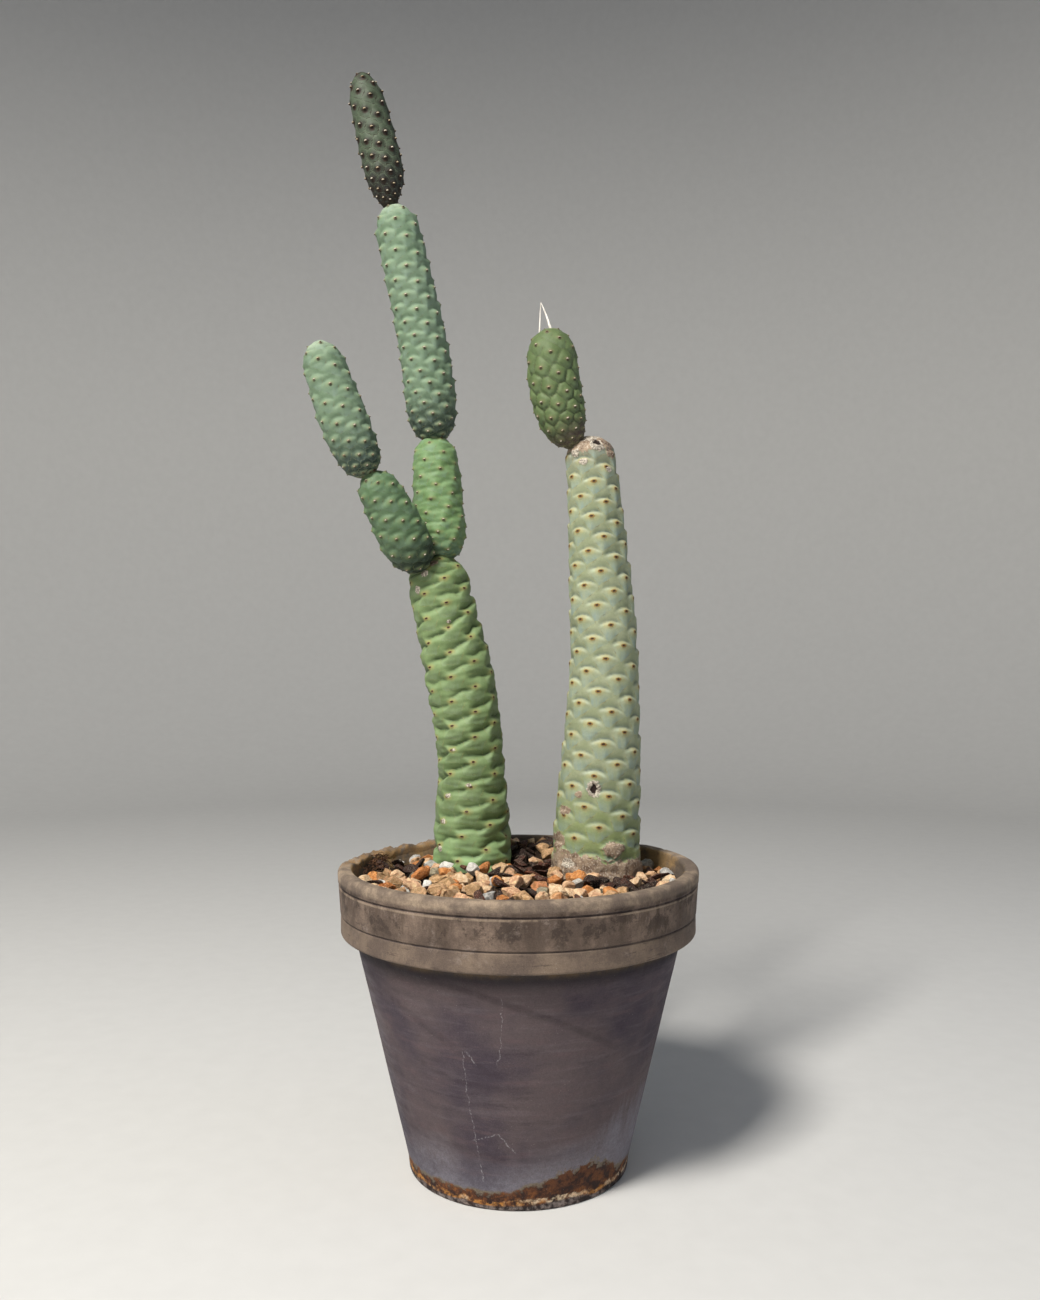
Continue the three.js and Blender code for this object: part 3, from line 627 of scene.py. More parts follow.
laid = []
wanted = [(kind, low + (high - low) * chance.random() ** 1.4, place)
          for kind, count, low, high in STONE_COUNTS for place in range(count)]
wanted.sort(key=lambda stone: -stone[1])
stones = {kind: [] for kind, _, _, _ in STONE_COUNTS}
tries = 0
while wanted and tries < STONE_TRIES:
    tries += 1
    kind, size, place = wanted[0]
    away = STONE_REACH * math.sqrt(chance.random())
    angle = chance.uniform(0, 2 * math.pi)
    x = away * math.cos(angle)
    y = away * math.sin(angle)
    loose = place % 4 == 3
    barked = sum(heaped(x, y, patch) for patch in BARK_PATCHES) + 0.7 * (x > 50) * (y < 0)
    barky = barked + 0.5 * noise.noise(Vector((x, y, 0)) / 26) > 0.45
    if away + size * 0.5 > MIX_INSIDE or (kind == "bark") != barky and chance.random() < 0.75:
        continue
    if any(math.hypot(x - far, y - deep) < girth + size * 0.47 for far, deep, girth in TRUNK_SPOTS):
        continue
    close = 0.36 if loose else 0.43
    if any(math.hypot(x - far, y - deep) < close * (size + other) for far, deep, other in laid):
        if not loose or chance.random() < 0.97:
            continue
    laid.append((x, y, size))
    wanted.pop(0)
    tilt = Euler((chance.uniform(-0.6, 0.6), chance.uniform(-0.6, 0.6), chance.uniform(0, 6.3))).to_matrix()
    raised = chance.uniform(0.05, 0.3) * size + (0.22 * size if loose else 0)
    spot = Matrix.Translation((POT_X + x * MM, y * MM, (mix_height(x, y) + raised) * MM))
    stones[kind].append((chance.randrange(SHAPES), spot @ tilt.to_4x4() @ Matrix.Scale(size * MM, 4),
                         chance.random()))

for kind, (slot, stretch, pairs) in STONE_LOOKS.items():
    shapes = [broken_stone(f"{kind}_shape", stretch, CUTS) for _ in range(SHAPES)]
    piece = strewn(f"gravel_{kind}", shapes, stones[kind])
    look, nodes, shader = material(f"{kind}_grains", roughness=0.85, specular=0.3)
    here = nodes.object_place()
    tint = nodes.attribute("tint", 2)
    mottle = nodes.noise(here, 420.0, 5.0, 0.7)
    fine = nodes.noise(here, 1700.0, 4.0, 0.6)
    tones = [nodes.blend(mottle, 0.35, 0.68, low, high) for low, high in pairs]
    tone = nodes.mix(nodes.step(tint, 0.36, 0.46), tones[0], tones[1])
    tone = nodes.mix(nodes.step(tint, 0.84, 0.9), tone, tones[2])
    tone = nodes.grained(tone, 0.5, nodes.maths("FRACT", nodes.product(tint, 17.0)), "6c6c6c", "c0c0c0")
    tone = nodes.over(tone, "cfc2ad", nodes.step(fine, 0.52, 0.66), 0.3)
    tone = nodes.over(tone, "241c18", nodes.step(nodes.cells(here, 900.0), 0.16, 0.07), 0.6)
    nodes.feed(shader.inputs["Base Color"], tone)
    bumped(nodes, shader, nodes.total(mottle, nodes.product(fine, 0.5)), 0.0008)
    piece.data.materials.append(look)
    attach(piece, "root")
    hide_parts("potting_mix")

strands = []
for strand in range(ROOT_STRANDS):
    spot = Vector(ROOT_WAD) + Vector((chance.gauss(0, 4.5), chance.gauss(0, 10), chance.gauss(0, 1.6)))
    heading = Vector((chance.gauss(0, 1), chance.gauss(0, 1), chance.gauss(0, 0.5))).normalized()
    path = []
    for _ in range(9):
        path.append(spot[:])
        heading = (heading + Vector([chance.gauss(0, 0.5) for _ in range(3)])).normalized()
        spot = spot + heading * chance.uniform(1.0, 1.9)
        reach = math.hypot(spot.x, spot.y)
        if reach > ROOT_REACH:
            spot = Vector((spot.x * ROOT_REACH / reach, spot.y * ROOT_REACH / reach, spot.z))
        spot.z = min(max(spot.z, mix_height(spot.x, spot.y) - 1), ROOT_TOP)
    girth = chance.uniform(0.16, 0.5)
    strands.append(drawn_out("strand", path, (girth, girth * 0.5), (girth, girth * 0.5), 6, 14))
root_wad = joined("root_wad", strands)
dry_root, nodes, shader = material("dry_root", roughness=0.9, specular=0.15)
fine = nodes.noise(nodes.object_place(), 500.0, 4.0, 0.7)
nodes.feed(shader.inputs["Base Color"], nodes.blend(fine, 0.4, 0.62, "2a1a13", "6d4e39"))
bumped(nodes, shader, fine, 0.0004)
root_wad.data.materials.append(dry_root)
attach(root_wad, "root")
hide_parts("potting_mix")


# The left plant's trunk: an old green joint, rooted in the mix. Its skin is drawn up into long
# folds, one to the left of each areole, with white scabs where it was rubbed. All the joints grow
# the same way, their areoles on one spiral, and are measured in millimetres from the pot's axis.
LINE_STEPS = 400
SPREAD = np.arange(-13, 14)
FULL_TURN = 2 * math.pi
LEAST_GIRTH = 2.0
DEPTH_STEP = 0.7548777
REACH_STEP = 0.5698403


def varied(order, step):
    """A share from 0 to 1 that differs from each areole to the next and never repeats."""
    return (order * step) % 1


def axis_through(points):
    """A smooth line through the points, at equal steps along its length, and that length."""
    ends = np.vstack([2 * points[0] - points[1], points, 2 * points[-1] - points[-2]])
    line = []
    for p in zip(ends, ends[1:], ends[2:], ends[3:]):
        knots = np.r_[0, np.cumsum(np.sqrt(np.linalg.norm(np.diff(p, axis=0), axis=1)))]
        t = np.linspace(knots[1], knots[2], 60)[:, None]

        def blend(first, second, low, high):
            return (first * (knots[high] - t) + second * (t - knots[low])) / (knots[high] - knots[low])

        near, middle, far = [blend(p[k], p[k + 1], k, k + 1) for k in range(3)]
        line.append(blend(blend(near, middle, 0, 2), blend(middle, far, 1, 3), 1, 2))
    line = np.vstack(line)
    along = np.r_[0, np.cumsum(np.linalg.norm(np.diff(line, axis=0), axis=1))]
    steps = np.linspace(0, along[-1], LINE_STEPS + 1)
    return np.stack([np.interp(steps, along, line[:, k]) for k in range(3)], 1), along[-1]


def stations_at(stations, share):
    """The smooth curve through (share, radius) stations, read at each share."""
    spots, sizes = np.array(stations, float).T
    last = len(spots) - 1
    ahead = np.minimum(np.arange(last + 1) + 1, last)
    behind = np.maximum(np.arange(last + 1) - 1, 0)
    slope = (sizes[ahead] - sizes[behind]) / (spots[ahead] - spots[behind])
    at = np.clip(np.searchsorted(spots, share, side="right"), 1, last)
    span = spots[at] - spots[at - 1]
    t = (share - spots[at - 1]) / span
    held = sizes[at - 1] * (1 + 2 * t) * (1 - t) ** 2 + sizes[at] * t * t * (3 - 2 * t)
    return held + span * t * (1 - t) * (slope[at - 1] * (1 - t) - slope[at] * t)


def chosen(values, at):
    """One value of each row."""
    return np.take_along_axis(values, at[:, None], 1)[:, 0]


def creased(u, v, run, line, above, below):
    """Creases along lines beside the areoles: the skin dips slowly above one and steeply below it."""
    off = v - line
    dip = np.exp(-np.abs(off) / np.where(off > 0, above, below)) * run
    depth = (dip ** 3).sum(1) ** (1 / 3)
    # The edge mask marks a painted highlight just below each crease, and the crease mask painted shade along
    # it.
    edge = (np.exp(-((off + below + 0.03) / (0.04 + 0.4 * below)) ** 2) * run).max(1)
    crease = (np.exp(-np.abs(off) / np.where(off > 0, 0.09, 0.03)) * run).max(1)
    return -np.clip(depth, 0, 1.15), crease, edge, (u * u + v * v).argmin(1)


def folded(u, v, order, reach=1.6, sag=0.07, above=0.3, below=0.13):
    """Round folds: a crease opens to the left of each areole, sags a little and fades at its end."""
    vary = varied(order, DEPTH_STEP)
    far = reach * (0.8 + 0.34 * varied(order, REACH_STEP))
    back = np.clip(-u, 0, None)
    run = eased(u, 0.06, -0.4) * eased(back, far, far * 0.6) * (0.7 + 0.4 * vary)
    line = -0.05 - 0.08 * (1 - np.exp(-back / 0.12)) - sag * eased(back, 0.55, 1.05)
    line = line + sag * eased(back, 1.1, 1.5) - 0.16 * (vary - 0.4) * back
    wide = 0.3 + 0.7 * eased(back, 0.05, 0.6)
    return creased(u, v, run, line, above * wide, below * wide)


class Joint:
    """A cactus joint: its plain form, its spiral of areoles and the way its skin is raised.

    Base and tip are the shares of its length that round off at its ends, and neck is how wide it
    stays at its foot. The spiral is the rise from one areole to the next, how they crowd at the
    base, the turn from one to the next, the first one's place and the hand. Waist draws its foot in.
    """

    def __init__(self, axis, stations, base, tip, neck, spiral, shape, depth, raised, bump, waver,
                 wrinkled, waist=(0.0, 1.0), smooth_from=None):
        self.line, length = axis_through(np.array(axis, float))
        share = np.linspace(0, 1, LINE_STEPS + 1)
        swell = np.sqrt(1 - np.clip(1 - share / base, 0, 1) ** 2)
        close = np.sqrt(1 - np.clip((share - 1 + tip) / tip, 0, 1) ** 2)
        self.radius = stations_at(stations, share) * (neck + (1 - neck) * swell) * close
        self.radius *= 1 - waist[0] * np.clip(1 - share * length / waist[1], 0, 1) ** 2
        self.way = np.r_[0, np.cumsum(np.hypot(length / LINE_STEPS, np.diff(self.radius)))]
        self.total = self.way[-1]
        self.tangent = np.gradient(self.line, axis=0)
        self.tangent /= np.linalg.norm(self.tangent, axis=1)[:, None]
        self.side = np.cross([0, 1, 0], self.tangent)
        self.side /= np.linalg.norm(self.side, axis=1)[:, None]
        self.back = np.cross(self.tangent, self.side)
        self.widening = np.gradient(self.radius, self.way)
        self.rise, self.crowding, self.turn, self.phase, self.hand = spiral
        self.places = self.total / self.rise
        self.count = math.ceil(self.places) - 1
        self.shape, self.depth, self.raised, self.bump = shape, depth, raised, bump
        self.waver, self.wrinkled, self.smooth_from = waver, wrinkled, smooth_from

    def read(self, values, way):
        """One of the form's rows of values, at each way along the skin."""
        if values.ndim == 1:
            return np.interp(way, self.way, values)
        return np.stack([np.interp(way, self.way, values[:, k]) for k in range(3)], -1)

    def point(self, turn, way, lift=0.0, shrink=1.0):
        """Points on the skin in millimetres, lifted off it along its normal."""
        ahead = self.read(self.tangent, way)
        radial = (np.cos(turn)[..., None] * self.read(self.side, way)
                  + np.sin(turn)[..., None] * self.read(self.back, way))
        widening = self.read(self.widening, way)
        outward = np.sqrt(np.clip(1 - widening ** 2, 0, 1))
        normal = radial * outward[..., None] - ahead * widening[..., None]
        spot = self.read(self.line, way) + radial * (self.read(self.radius, way) * shrink)[..., None]
        return spot + normal * np.asarray(lift)[..., None], normal

    def areole(self, order):
        """The turn and the way of each areole of the spiral."""
        share = order / self.places
        turn = self.hand * np.radians(order * self.turn + self.phase)
        return turn, self.total * share * (1 - self.crowding * (1 - share))

    def spacing(self, order, girth):
        """How far each areole of the spiral lies from its neighbours."""
        crowded = 1 - self.crowding + 2 * self.crowding * order / self.places
        return np.sqrt(FULL_TURN * girth * self.rise * crowded)

    def relief(self, turn, way):
        """How far the skin is raised at each point, and what its material needs to know there."""
        plain = np.clip(way / self.total, 0, 1)
        c = self.crowding
        share = (np.sqrt((1 - c) ** 2 + 4 * c * plain) - 1 + c) / (2 * c) if c else plain
        order = np.clip(np.round(share * self.places)[:, None] + SPREAD, 1, self.count)
        at_turn, at_way = self.areole(order)
        girth = np.maximum(self.read(self.radius, way), LEAST_GIRTH)
        aside = ((turn[:, None] - at_turn + math.pi) % FULL_TURN - math.pi) * girth[:, None]
        above = way[:, None] - at_way
        spacing = self.spacing(order, girth[:, None])
        sway = self.waver * noise_at(np.c_[np.cos(turn) * girth, np.sin(turn) * girth, way], 0.085, 5.0)
        apart = 1 - np.exp(-(aside ** 2 + above ** 2) / (0.35 * spacing) ** 2)
        swayed = (above + sway[:, None] * apart) / spacing
        height, crease, edge, best = self.shape(aside / spacing, swayed, order)
        if self.smooth_from:
            kept = 0.15 + 0.85 * eased(plain, self.smooth_from[1], self.smooth_from[0])
            height, crease = height * kept, crease * kept
        size = chosen(spacing, best)
        wide = size / size.max()
        near = (aside ** 2 + above ** 2).argmin(1)
        bump_x, bump_y, bump_size = chosen(aside, near), chosen(above, near), chosen(spacing, near) * 0.19
        steep = np.where(bump_y < 0, 0.6, 1.3)
        cone = np.exp(-((bump_x / bump_size) ** 2 + (bump_y / (bump_size * steep)) ** 2))
        fade = eased(way, 0, 4) * eased(self.total - way, 0.3, 8) * np.clip(wide * 1.2, 0, 1)
        lift = fade * (self.raised + height * self.depth * np.clip(wide * 1.25, 0, 1) + self.bump * cone)
        # The relief attribute gets the masks for the painted highlight and the painted crease shade, and the
        # share below the areole.
        return lift, np.c_[bump_x, bump_y, 0 * way], np.c_[edge, crease, chosen(above, best) / size]


def grown(name, joint, around, step, marks=(), foot=0.0, foot_share=1.0):
    """A joint's skin: a ball drawn out over the joint's form, then raised round its areoles."""
    rows = [-foot] + ([-foot + gap for gap in np.arange(0, foot, 8.0)] if foot else [])
    rows = np.r_[rows, np.linspace(0, joint.total, round(joint.total / step) + 1)]
    deselected()
    bpy.ops.mesh.primitive_uv_sphere_add(segments=around, ring_count=len(rows) - 1, radius=1)
    piece = bpy.context.object
    piece.name = name
    ball = corners_of(piece)
    row = np.round((1 - np.arccos(np.clip(ball[:, 2], -1, 1)) / math.pi) * (len(rows) - 1)).astype(int)
    way = rows[row]
    turn = np.arctan2(ball[:, 1], ball[:, 0])
    turn[(row == 0) | (row == len(rows) - 1)] = 0
    lift, areole_at, relief = joint.relief(turn, way)
    girth = joint.read(joint.radius, way)
    round_it = np.c_[np.cos(turn) * girth, np.sin(turn) * girth, way]
    uneven = 0.3 * noise_at(round_it, 0.11, 3.0)
    uneven += joint.wrinkled * noise_at(round_it * [0.25, 0.25, 1], 0.42, 6.0)
    lift += uneven * eased(way, 0, 4) * eased(joint.total - way, 0.3, 3)
    ragged = 0.3 * noise_at(round_it, 0.45, 8.0) + 0.2 * noise_at(round_it, 1.3, 2.0) if marks else 0.0
    wear = np.zeros((len(way), 3))
    for kind, mark_turn, mark_way, wide, tall, raised in marks:
        far = ((turn - math.radians(mark_turn) + math.pi) % FULL_TURN - math.pi) * girth
        mark = eased(np.hypot(far / wide, (way - mark_way) / tall) + ragged, 1.1, 0.8)
        wear[:, kind] = np.maximum(wear[:, kind], mark)
        lift += raised * mark * eased(way, 0, 4)
    shrink = np.interp(way, [-foot - 0.001, 4.2 if foot else 0], [foot_share, 1])
    shrink[row == 0] = 0
    places, _ = joint.point(turn, np.maximum(way, 0), lift, shrink)
    places[:, 2] += np.minimum(way, 0)
    places[:, 0] += POT_X / MM
    put_corners(piece, places * MM)
    for title, values in (("areole_at", areole_at), ("relief", relief), ("wear", wear),
                          ("along", np.c_[way, joint.total - way, 0 * way])):
        piece.data.attributes.new(title, "FLOAT_VECTOR", "POINT")
        piece.data.attributes[title].data.foreach_set("vector", values.astype(np.float32).ravel())
    deselected()
    piece.select_set(True)
    bpy.context.view_layer.objects.active = piece
    bpy.ops.object.shade_smooth()
    return piece


SCAB, CORKED, HOLLOW = 0, 1, 2
# What a joint's tones and values are, in the order in which each joint lists them. The highlight colour, the
# crease colour (Dark) and the shade below each areole are painted light and shade.
SKIN_COLOURS = ("Flesh", "Shade", "Bright", "Bloom", "Dark", "Low", "Tip", "Halo", "Cushion", "Pit")
SKIN_VALUES = ("Low Reach", "Tip Reach", "Cushion Size", "Pit Size", "Halo Size", "Painted Shade Below", "Streaks",
               "Blotches", "Painted Highlight Amount", "Crease")


def skin_tones():
    """The node group that colours a joint's skin from what its mesh says about every place on it."""
    tree = bpy.data.node_groups.new("skin_tones", "ShaderNodeTree")
    for socket in SKIN_COLOURS:
        tree.interface.new_socket(socket, in_out="INPUT", socket_type="NodeSocketColor")
    for socket in SKIN_VALUES:
        tree.interface.new_socket(socket, in_out="INPUT", socket_type="NodeSocketFloat")
    tree.interface.new_socket("Color", in_out="OUTPUT", socket_type="NodeSocketColor")
    tree.interface.new_socket("Height", in_out="OUTPUT", socket_type="NodeSocketFloat")
    nodes = Nodes(tree)
    given = tree.nodes.new("NodeGroupInput").outputs
    here = nodes.object_place()
    aside, above, _ = nodes.parts(nodes.attribute("areole_at"))
    edge, crease, below = nodes.parts(nodes.attribute("relief"))
    scab, corked, hollow = nodes.parts(nodes.attribute("wear"))
    way, tip_way, _ = nodes.parts(nodes.attribute("along"))
    broad = nodes.noise(here, 55.0, 4.0, 0.6)
    mottle = nodes.noise(here, 190.0, 4.0, 0.6)
    fine = nodes.noise(here, 900.0, 4.0, 0.65)
    streaked = nodes.noise(here, 420.0, 3.0, 0.6, stretch=(1.0, 1.0, 0.16))
    uneven = nodes.less(mottle, 0.5)
    patches = nodes.total(broad, nodes.product(uneven, given["Blotches"]))
    tone = nodes.mix(nodes.step(patches, 0.38, 0.66), given["Flesh"], given["Shade"])
    low_share = nodes.total(nodes.maths("DIVIDE", way, given["Low Reach"]), nodes.product(uneven, 0.7))
    tone = nodes.mix(nodes.step(low_share, 1.15, 0.25), tone, given["Low"])
    tip_share = nodes.total(nodes.maths("DIVIDE", tip_way, given["Tip Reach"]), nodes.product(uneven, 0.5))
    tone = nodes.mix(nodes.step(tip_share, 1.1, 0.2), tone, given["Tip"])
    bloom = nodes.product(nodes.step(below, 0.0, -0.5), nodes.span(streaked, 0.35, 0.65, 0.3, 1.0),
                          given["Streaks"])
    tone = nodes.mix(bloom, tone, given["Bloom"])
    # Painted highlight along the upturned edge below each crease, then painted shade in the creases (the top
    # joint's crease colour is pale).
    lit = nodes.product(edge, nodes.span(mottle, 0.3, 0.7, 0.5, 1.0), given["Painted Highlight Amount"])
    tone = nodes.mix(lit, tone, given["Bright"])
    tone = nodes.mix(nodes.product(crease, given["Crease"]), tone, given["Dark"])

    def away_from(height, wide):
        """How far a place is from the areole, or from a spot at its height, in a wide round."""
        flattened = nodes.maths("POWER", nodes.maths("DIVIDE", aside, wide), 2.0)
        return nodes.maths("SQRT", nodes.total(flattened, nodes.maths("POWER", height, 2.0)))

    def spot(away, size, rough, outer, inner):
        return nodes.step(nodes.total(nodes.maths("DIVIDE", away, size), rough), outer, inner)

    # The areole: a yellowish halo, a felted cushion and a dark pit, and painted shadow in brown below it.
    nudge = nodes.product(nodes.less(fine, 0.5), 0.9)
    ragged = nodes.product(nodes.less(nodes.noise(here, 380.0, 3.0), 0.5), 1.3)
    far = away_from(above, 1.7)
    # A spot below the areole, where the painted shadow goes.
    under = away_from(nodes.total(above, nodes.product(given["Cushion Size"], 1.2)), 1.5)
    halo = spot(far, given["Halo Size"], ragged, 1.2, 0.3)
    tone = nodes.mix(nodes.product(halo, 0.7), tone, given["Halo"])
    shade_below = spot(under, given["Cushion Size"], nudge, 1.25, 0.4)
    tone = nodes.over(tone, "33241a", shade_below, given["Painted Shade Below"])
    cushion = spot(far, given["Cushion Size"], nudge, 1.1, 0.8)
    tone = nodes.mix(cushion, tone, given["Cushion"])
    pit = spot(far, given["Pit Size"], nudge, 1.15, 0.7)
    tone = nodes.mix(pit, tone, given["Pit"])
    # Faint pale specks of wax, then the wear: corky patches, white scabs and hollows.
    tone = nodes.over(tone, "d5dcc4", nodes.step(nodes.cells(here, 800.0), 0.16, 0.05), 0.2)
    cork_tone = nodes.over(nodes.blend(mottle, 0.35, 0.62, "7d6654", "b9a38a"), "d3cabb",
                           nodes.step(fine, 0.5, 0.68))
    tone = nodes.mix(nodes.step(nodes.total(corked, nudge), 0.3, 0.7), tone, cork_tone)
    scab_tone = nodes.blend(fine, 0.38, 0.6, "8f8474", "d9d3c8")
    tone = nodes.mix(nodes.step(nodes.total(scab, nudge), 0.35, 0.6), tone, scab_tone)
    tone = nodes.over(tone, "2b1b14", nodes.step(nodes.total(hollow, nudge), 0.4, 0.7))
    tone = nodes.grained(tone, 0.6, fine, "707070", "989898")
    height = nodes.total(nodes.product(fine, 0.5), nodes.product(mottle, 0.5), nodes.product(cushion, 0.4))
    height = nodes.less(height, nodes.product(pit, 1.2))
    height = nodes.total(height, nodes.product(nodes.total(scab, corked), fine, 0.8))
    given_back = tree.nodes.new("NodeGroupOutput")
    nodes.feed(given_back.inputs["Color"], tone)
    nodes.feed(given_back.inputs["Height"], height)
    return tree


SKIN_TONES = skin_tones()


def dressed(piece, node, colours, values, roughness=0.6):
    """The joint's own skin material; the piece is hung on the root, and the part named node is hidden."""
    look, nodes, shader = material(f"{node}_skin", roughness=roughness, specular=0.3)
    tones = look.node_tree.nodes.new("ShaderNodeGroup")
    tones.node_tree = SKIN_TONES
    for socket, code in zip(SKIN_COLOURS, colours.split()):
        tones.inputs[socket].default_value = paint(code)
    for socket, value in zip(SKIN_VALUES, values):
        tones.inputs[socket].default_value = value
    nodes.feed(shader.inputs["Base Color"], tones.outputs["Color"])
    bumped(nodes, shader, tones.outputs["Height"], 0.0004, 0.8)
    piece.data.materials.append(look)
    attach(piece, "root")
    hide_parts(node)


trunk_left = Joint(
    [[-28.9, 42, 156], [-28.9, 42, 192], [-29, 42, 218], [-31, 42, 243], [-34.4, 42, 268], [-39.2, 42, 293],
     [-44.8, 42, 318], [-50, 42, 341], [-53.2, 42, 357.5]],
    [[0, 24], [0.2, 22.2], [0.34, 19.9], [0.5, 20.2], [0.62, 20.8], [0.8, 19.2], [1, 17.4]],
    base=0.02, tip=0.1, neck=0.97, spiral=(1.66, 0, 79.28, 115.8, -1),
    shape=folded, depth=3.3, raised=1.4, bump=0.2, waver=3.4, wrinkled=0.45)
TRUNK_FOOT = 33.8
FOOT_SHARE = 0.66
trunk_left_scars = [  # kind, turn, way up the joint, half-width, half-height, how far it stands out
    (SCAB, -113, 193, 2.6, 1.9, 0.3), (SCAB, -133, 184, 2.2, 2.6, 0.3), (SCAB, -84, 161, 1.6, 1.2, 0.2),
    (SCAB, -130, 54, 2.0, 1.5, 0.3), (SCAB, -93, 61, 1.5, 1.1, 0.2), (SCAB, -137, 38, 1.8, 1.5, 0.2),
    (SCAB, -143, 21, 2.2, 1.8, 0.3), (SCAB, -116, 83, 1.3, 1.0, 0.2), (CORKED, -95, 200, 4.0, 3.0, 0.2),
    (SCAB, 60, 120, 2.4, 1.8, 0.3), (CORKED, 110, 60, 4.0, 3.0, 0.3), (SCAB, 20, 150, 1.8, 1.4, 0.2),
]
trunk_left_skin = grown("trunk_left_skin", trunk_left, 190, 0.7, trunk_left_scars, TRUNK_FOOT, FOOT_SHARE)
# Its pale Low tone over the lowest 40 mm is painted light, lifting the foot as fill light would.
dressed(trunk_left_skin, "trunk_left",
        "7b9460 8ba46f abc591 9fb495 33472a a0c286 869866 aeac6c ab9660 3a2418",
        (40, 12, 0.85, 0.6, 2.4, 0.25, 0.4, 0.5, 0.5, 0.85))


# The right plant's trunk: the oldest joint, pale and greyish, its tubercles flattened to scales
# that overlap like shingles. Its foot and its top are corked over, and a hole is healed in its
# skin low down.
def shingled(u, v, order, arch=0.21, bends=(0.38, 0.6), above=0.42, below=0.075, ends=(0.7, 0.26)):
    """Scales that overlap downwards: a crease arches over each areole and fades at both ends."""
    vary = varied(order, DEPTH_STEP)
    run = eased(u, -ends[0], -ends[1]) * eased(u, *ends) * (0.75 + 0.35 * vary)
    line = arch * (0.85 + 0.3 * vary) - u * u * np.where(u < 0, *bends)
    return creased(u, v, run, line, above, below)


trunk_right = Joint(
    [[47.4, 22, 156], [47.4, 22, 189], [48.6, 22, 207.5], [51, 22, 256], [51.9, 22, 298.6], [49.5, 22, 341],
     [46.1, 22, 389.7], [42.4, 22, 427.4]],
    [[0, 26.9], [0.13, 25.7], [0.3, 23.4], [0.47, 20.7], [0.6, 19.6], [0.75, 17.6], [0.9, 15.4], [1, 14.2]],
    base=0.02, tip=0.045, neck=0.97, spiral=(1.502, 0.09, 137.65, 197.3, -1),
    shape=shingled, depth=2.1, raised=0.8, bump=0.25, waver=1.6, wrinkled=0.15)
trunk_right_scars = [
    (SCAB, -102, 61, 4.2, 5.2, 0.3), (HOLLOW, -102, 61, 2.0, 3.0, -1.6), (CORKED, -123, 57, 2.4, 2.2, 0.2),
    (CORKED, -71, 26, 7.0, 5.0, 1.4), (CORKED, -90, 275, 60.0, 13.0, 0.3),
    (HOLLOW, -70, 268, 2.4, 3.0, -1.5), (SCAB, -74, 266, 4.2, 5.0, 0.3),
    (SCAB, -110, 256, 2.6, 2.0, 0.3), (SCAB, -53, 250, 2.2, 1.8, 0.3),
    (SCAB, -130, 262, 2.6, 2.4, 0.3), (CORKED, -100, 268, 4.0, 3.0, 0.2), (CORKED, -40, 262, 4.0, 5.0, 0.3),
    (CORKED, -155, 29, 7.0, 5.0, 0.4), (CORKED, -147, 46, 6.0, 3.0, 0.3), (CORKED, 70, 200, 5.0, 3.0, 0.3),
    (SCAB, 40, 120, 2.4, 2.0, 0.3), (CORKED, 120, 30, 9.0, 5.0, 0.5), (CORKED, -60, 9, 34.0, 11.0, 0.3),
    (CORKED, -130, 10, 30.0, 15.0, 0.3), (CORKED, 60, 8, 44.0, 11.0, 0.2), (CORKED, 150, 8, 40.0, 10.0, 0.2),
    (SCAB, -60, 276, 15.0, 5.0, 0.2), (SCAB, -118, 273, 11.0, 4.0, 0.2), (SCAB, -134, 17, 5.0, 3.0, 0.2),
]
trunk_right_skin = grown("trunk_right_skin", trunk_right, 220, 0.7, trunk_right_scars, TRUNK_FOOT,
                         FOOT_SHARE)
dressed(trunk_right_skin, "trunk_right",
        "a4ae88 b4bc99 dfe3dc 97aca4 586a66 9dae72 9c9a8c c2bb84 a4854c 46301f",
        (70, 34, 1.15, 0.62, 2.9, 0.2, 0.85, 0.6, 0.5, 0.85), 0.7)


# The middle stem: three joints one on another. The lowest is green and softly folded, the next
# long, pale and set with white-tipped areoles, and the topmost short, dark and beaded.
TINT_STEP = 0.618034


def areole_beads(name, joint, margin, size):
    """A felted cushion on each areole of a joint, in one piece."""
    deselected()
    bpy.ops.mesh.primitive_uv_sphere_add(segments=8, ring_count=5, radius=1)
    bead = bpy.context.object
    bead.name = "bead"
    # How far down each bead a place lies, for the painted shade on its underside.
    bead.data.attributes.new("under", "FLOAT", "POINT")
    bead.data.attributes["under"].data.foreach_set("value", [-corner.co.y for corner in bead.data.vertices])
    orders = np.arange(1, joint.count + 1)
    turns, ways = joint.areole(orders)
    lifts, _, _ = joint.relief(turns, ways)
    spots, normals = joint.point(turns, ways, lifts)
    spacings = joint.spacing(orders, np.maximum(joint.read(joint.radius, ways), LEAST_GIRTH))
    places = []
    for order, way, spot, normal, spacing in zip(orders, ways, spots, normals, spacings):
        if not margin < way < joint.total - 1.5:
            continue
        outward = Vector(normal)
        aside = Vector(joint.read(joint.tangent, way)).cross(outward).normalized()
        grow = min(1.0, 0.35 + 0.65 * spacing / size[3])
        frame_of = Matrix((aside, outward.cross(aside), outward)).transposed().to_4x4()
        shape = Matrix.Diagonal([side * grow * MM for side in size[:3]] + [1])
        at = Matrix.Translation((Vector(spot) + Vector((POT_X / MM, 0, 0))) * MM)
        places.append((0, at @ frame_of @ shape, varied(order, TINT_STEP)))
    piece = strewn(name, [bead], places)
    piece.data.materials.append(FELT)
    bpy.ops.object.shade_smooth()
    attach(piece, "root")


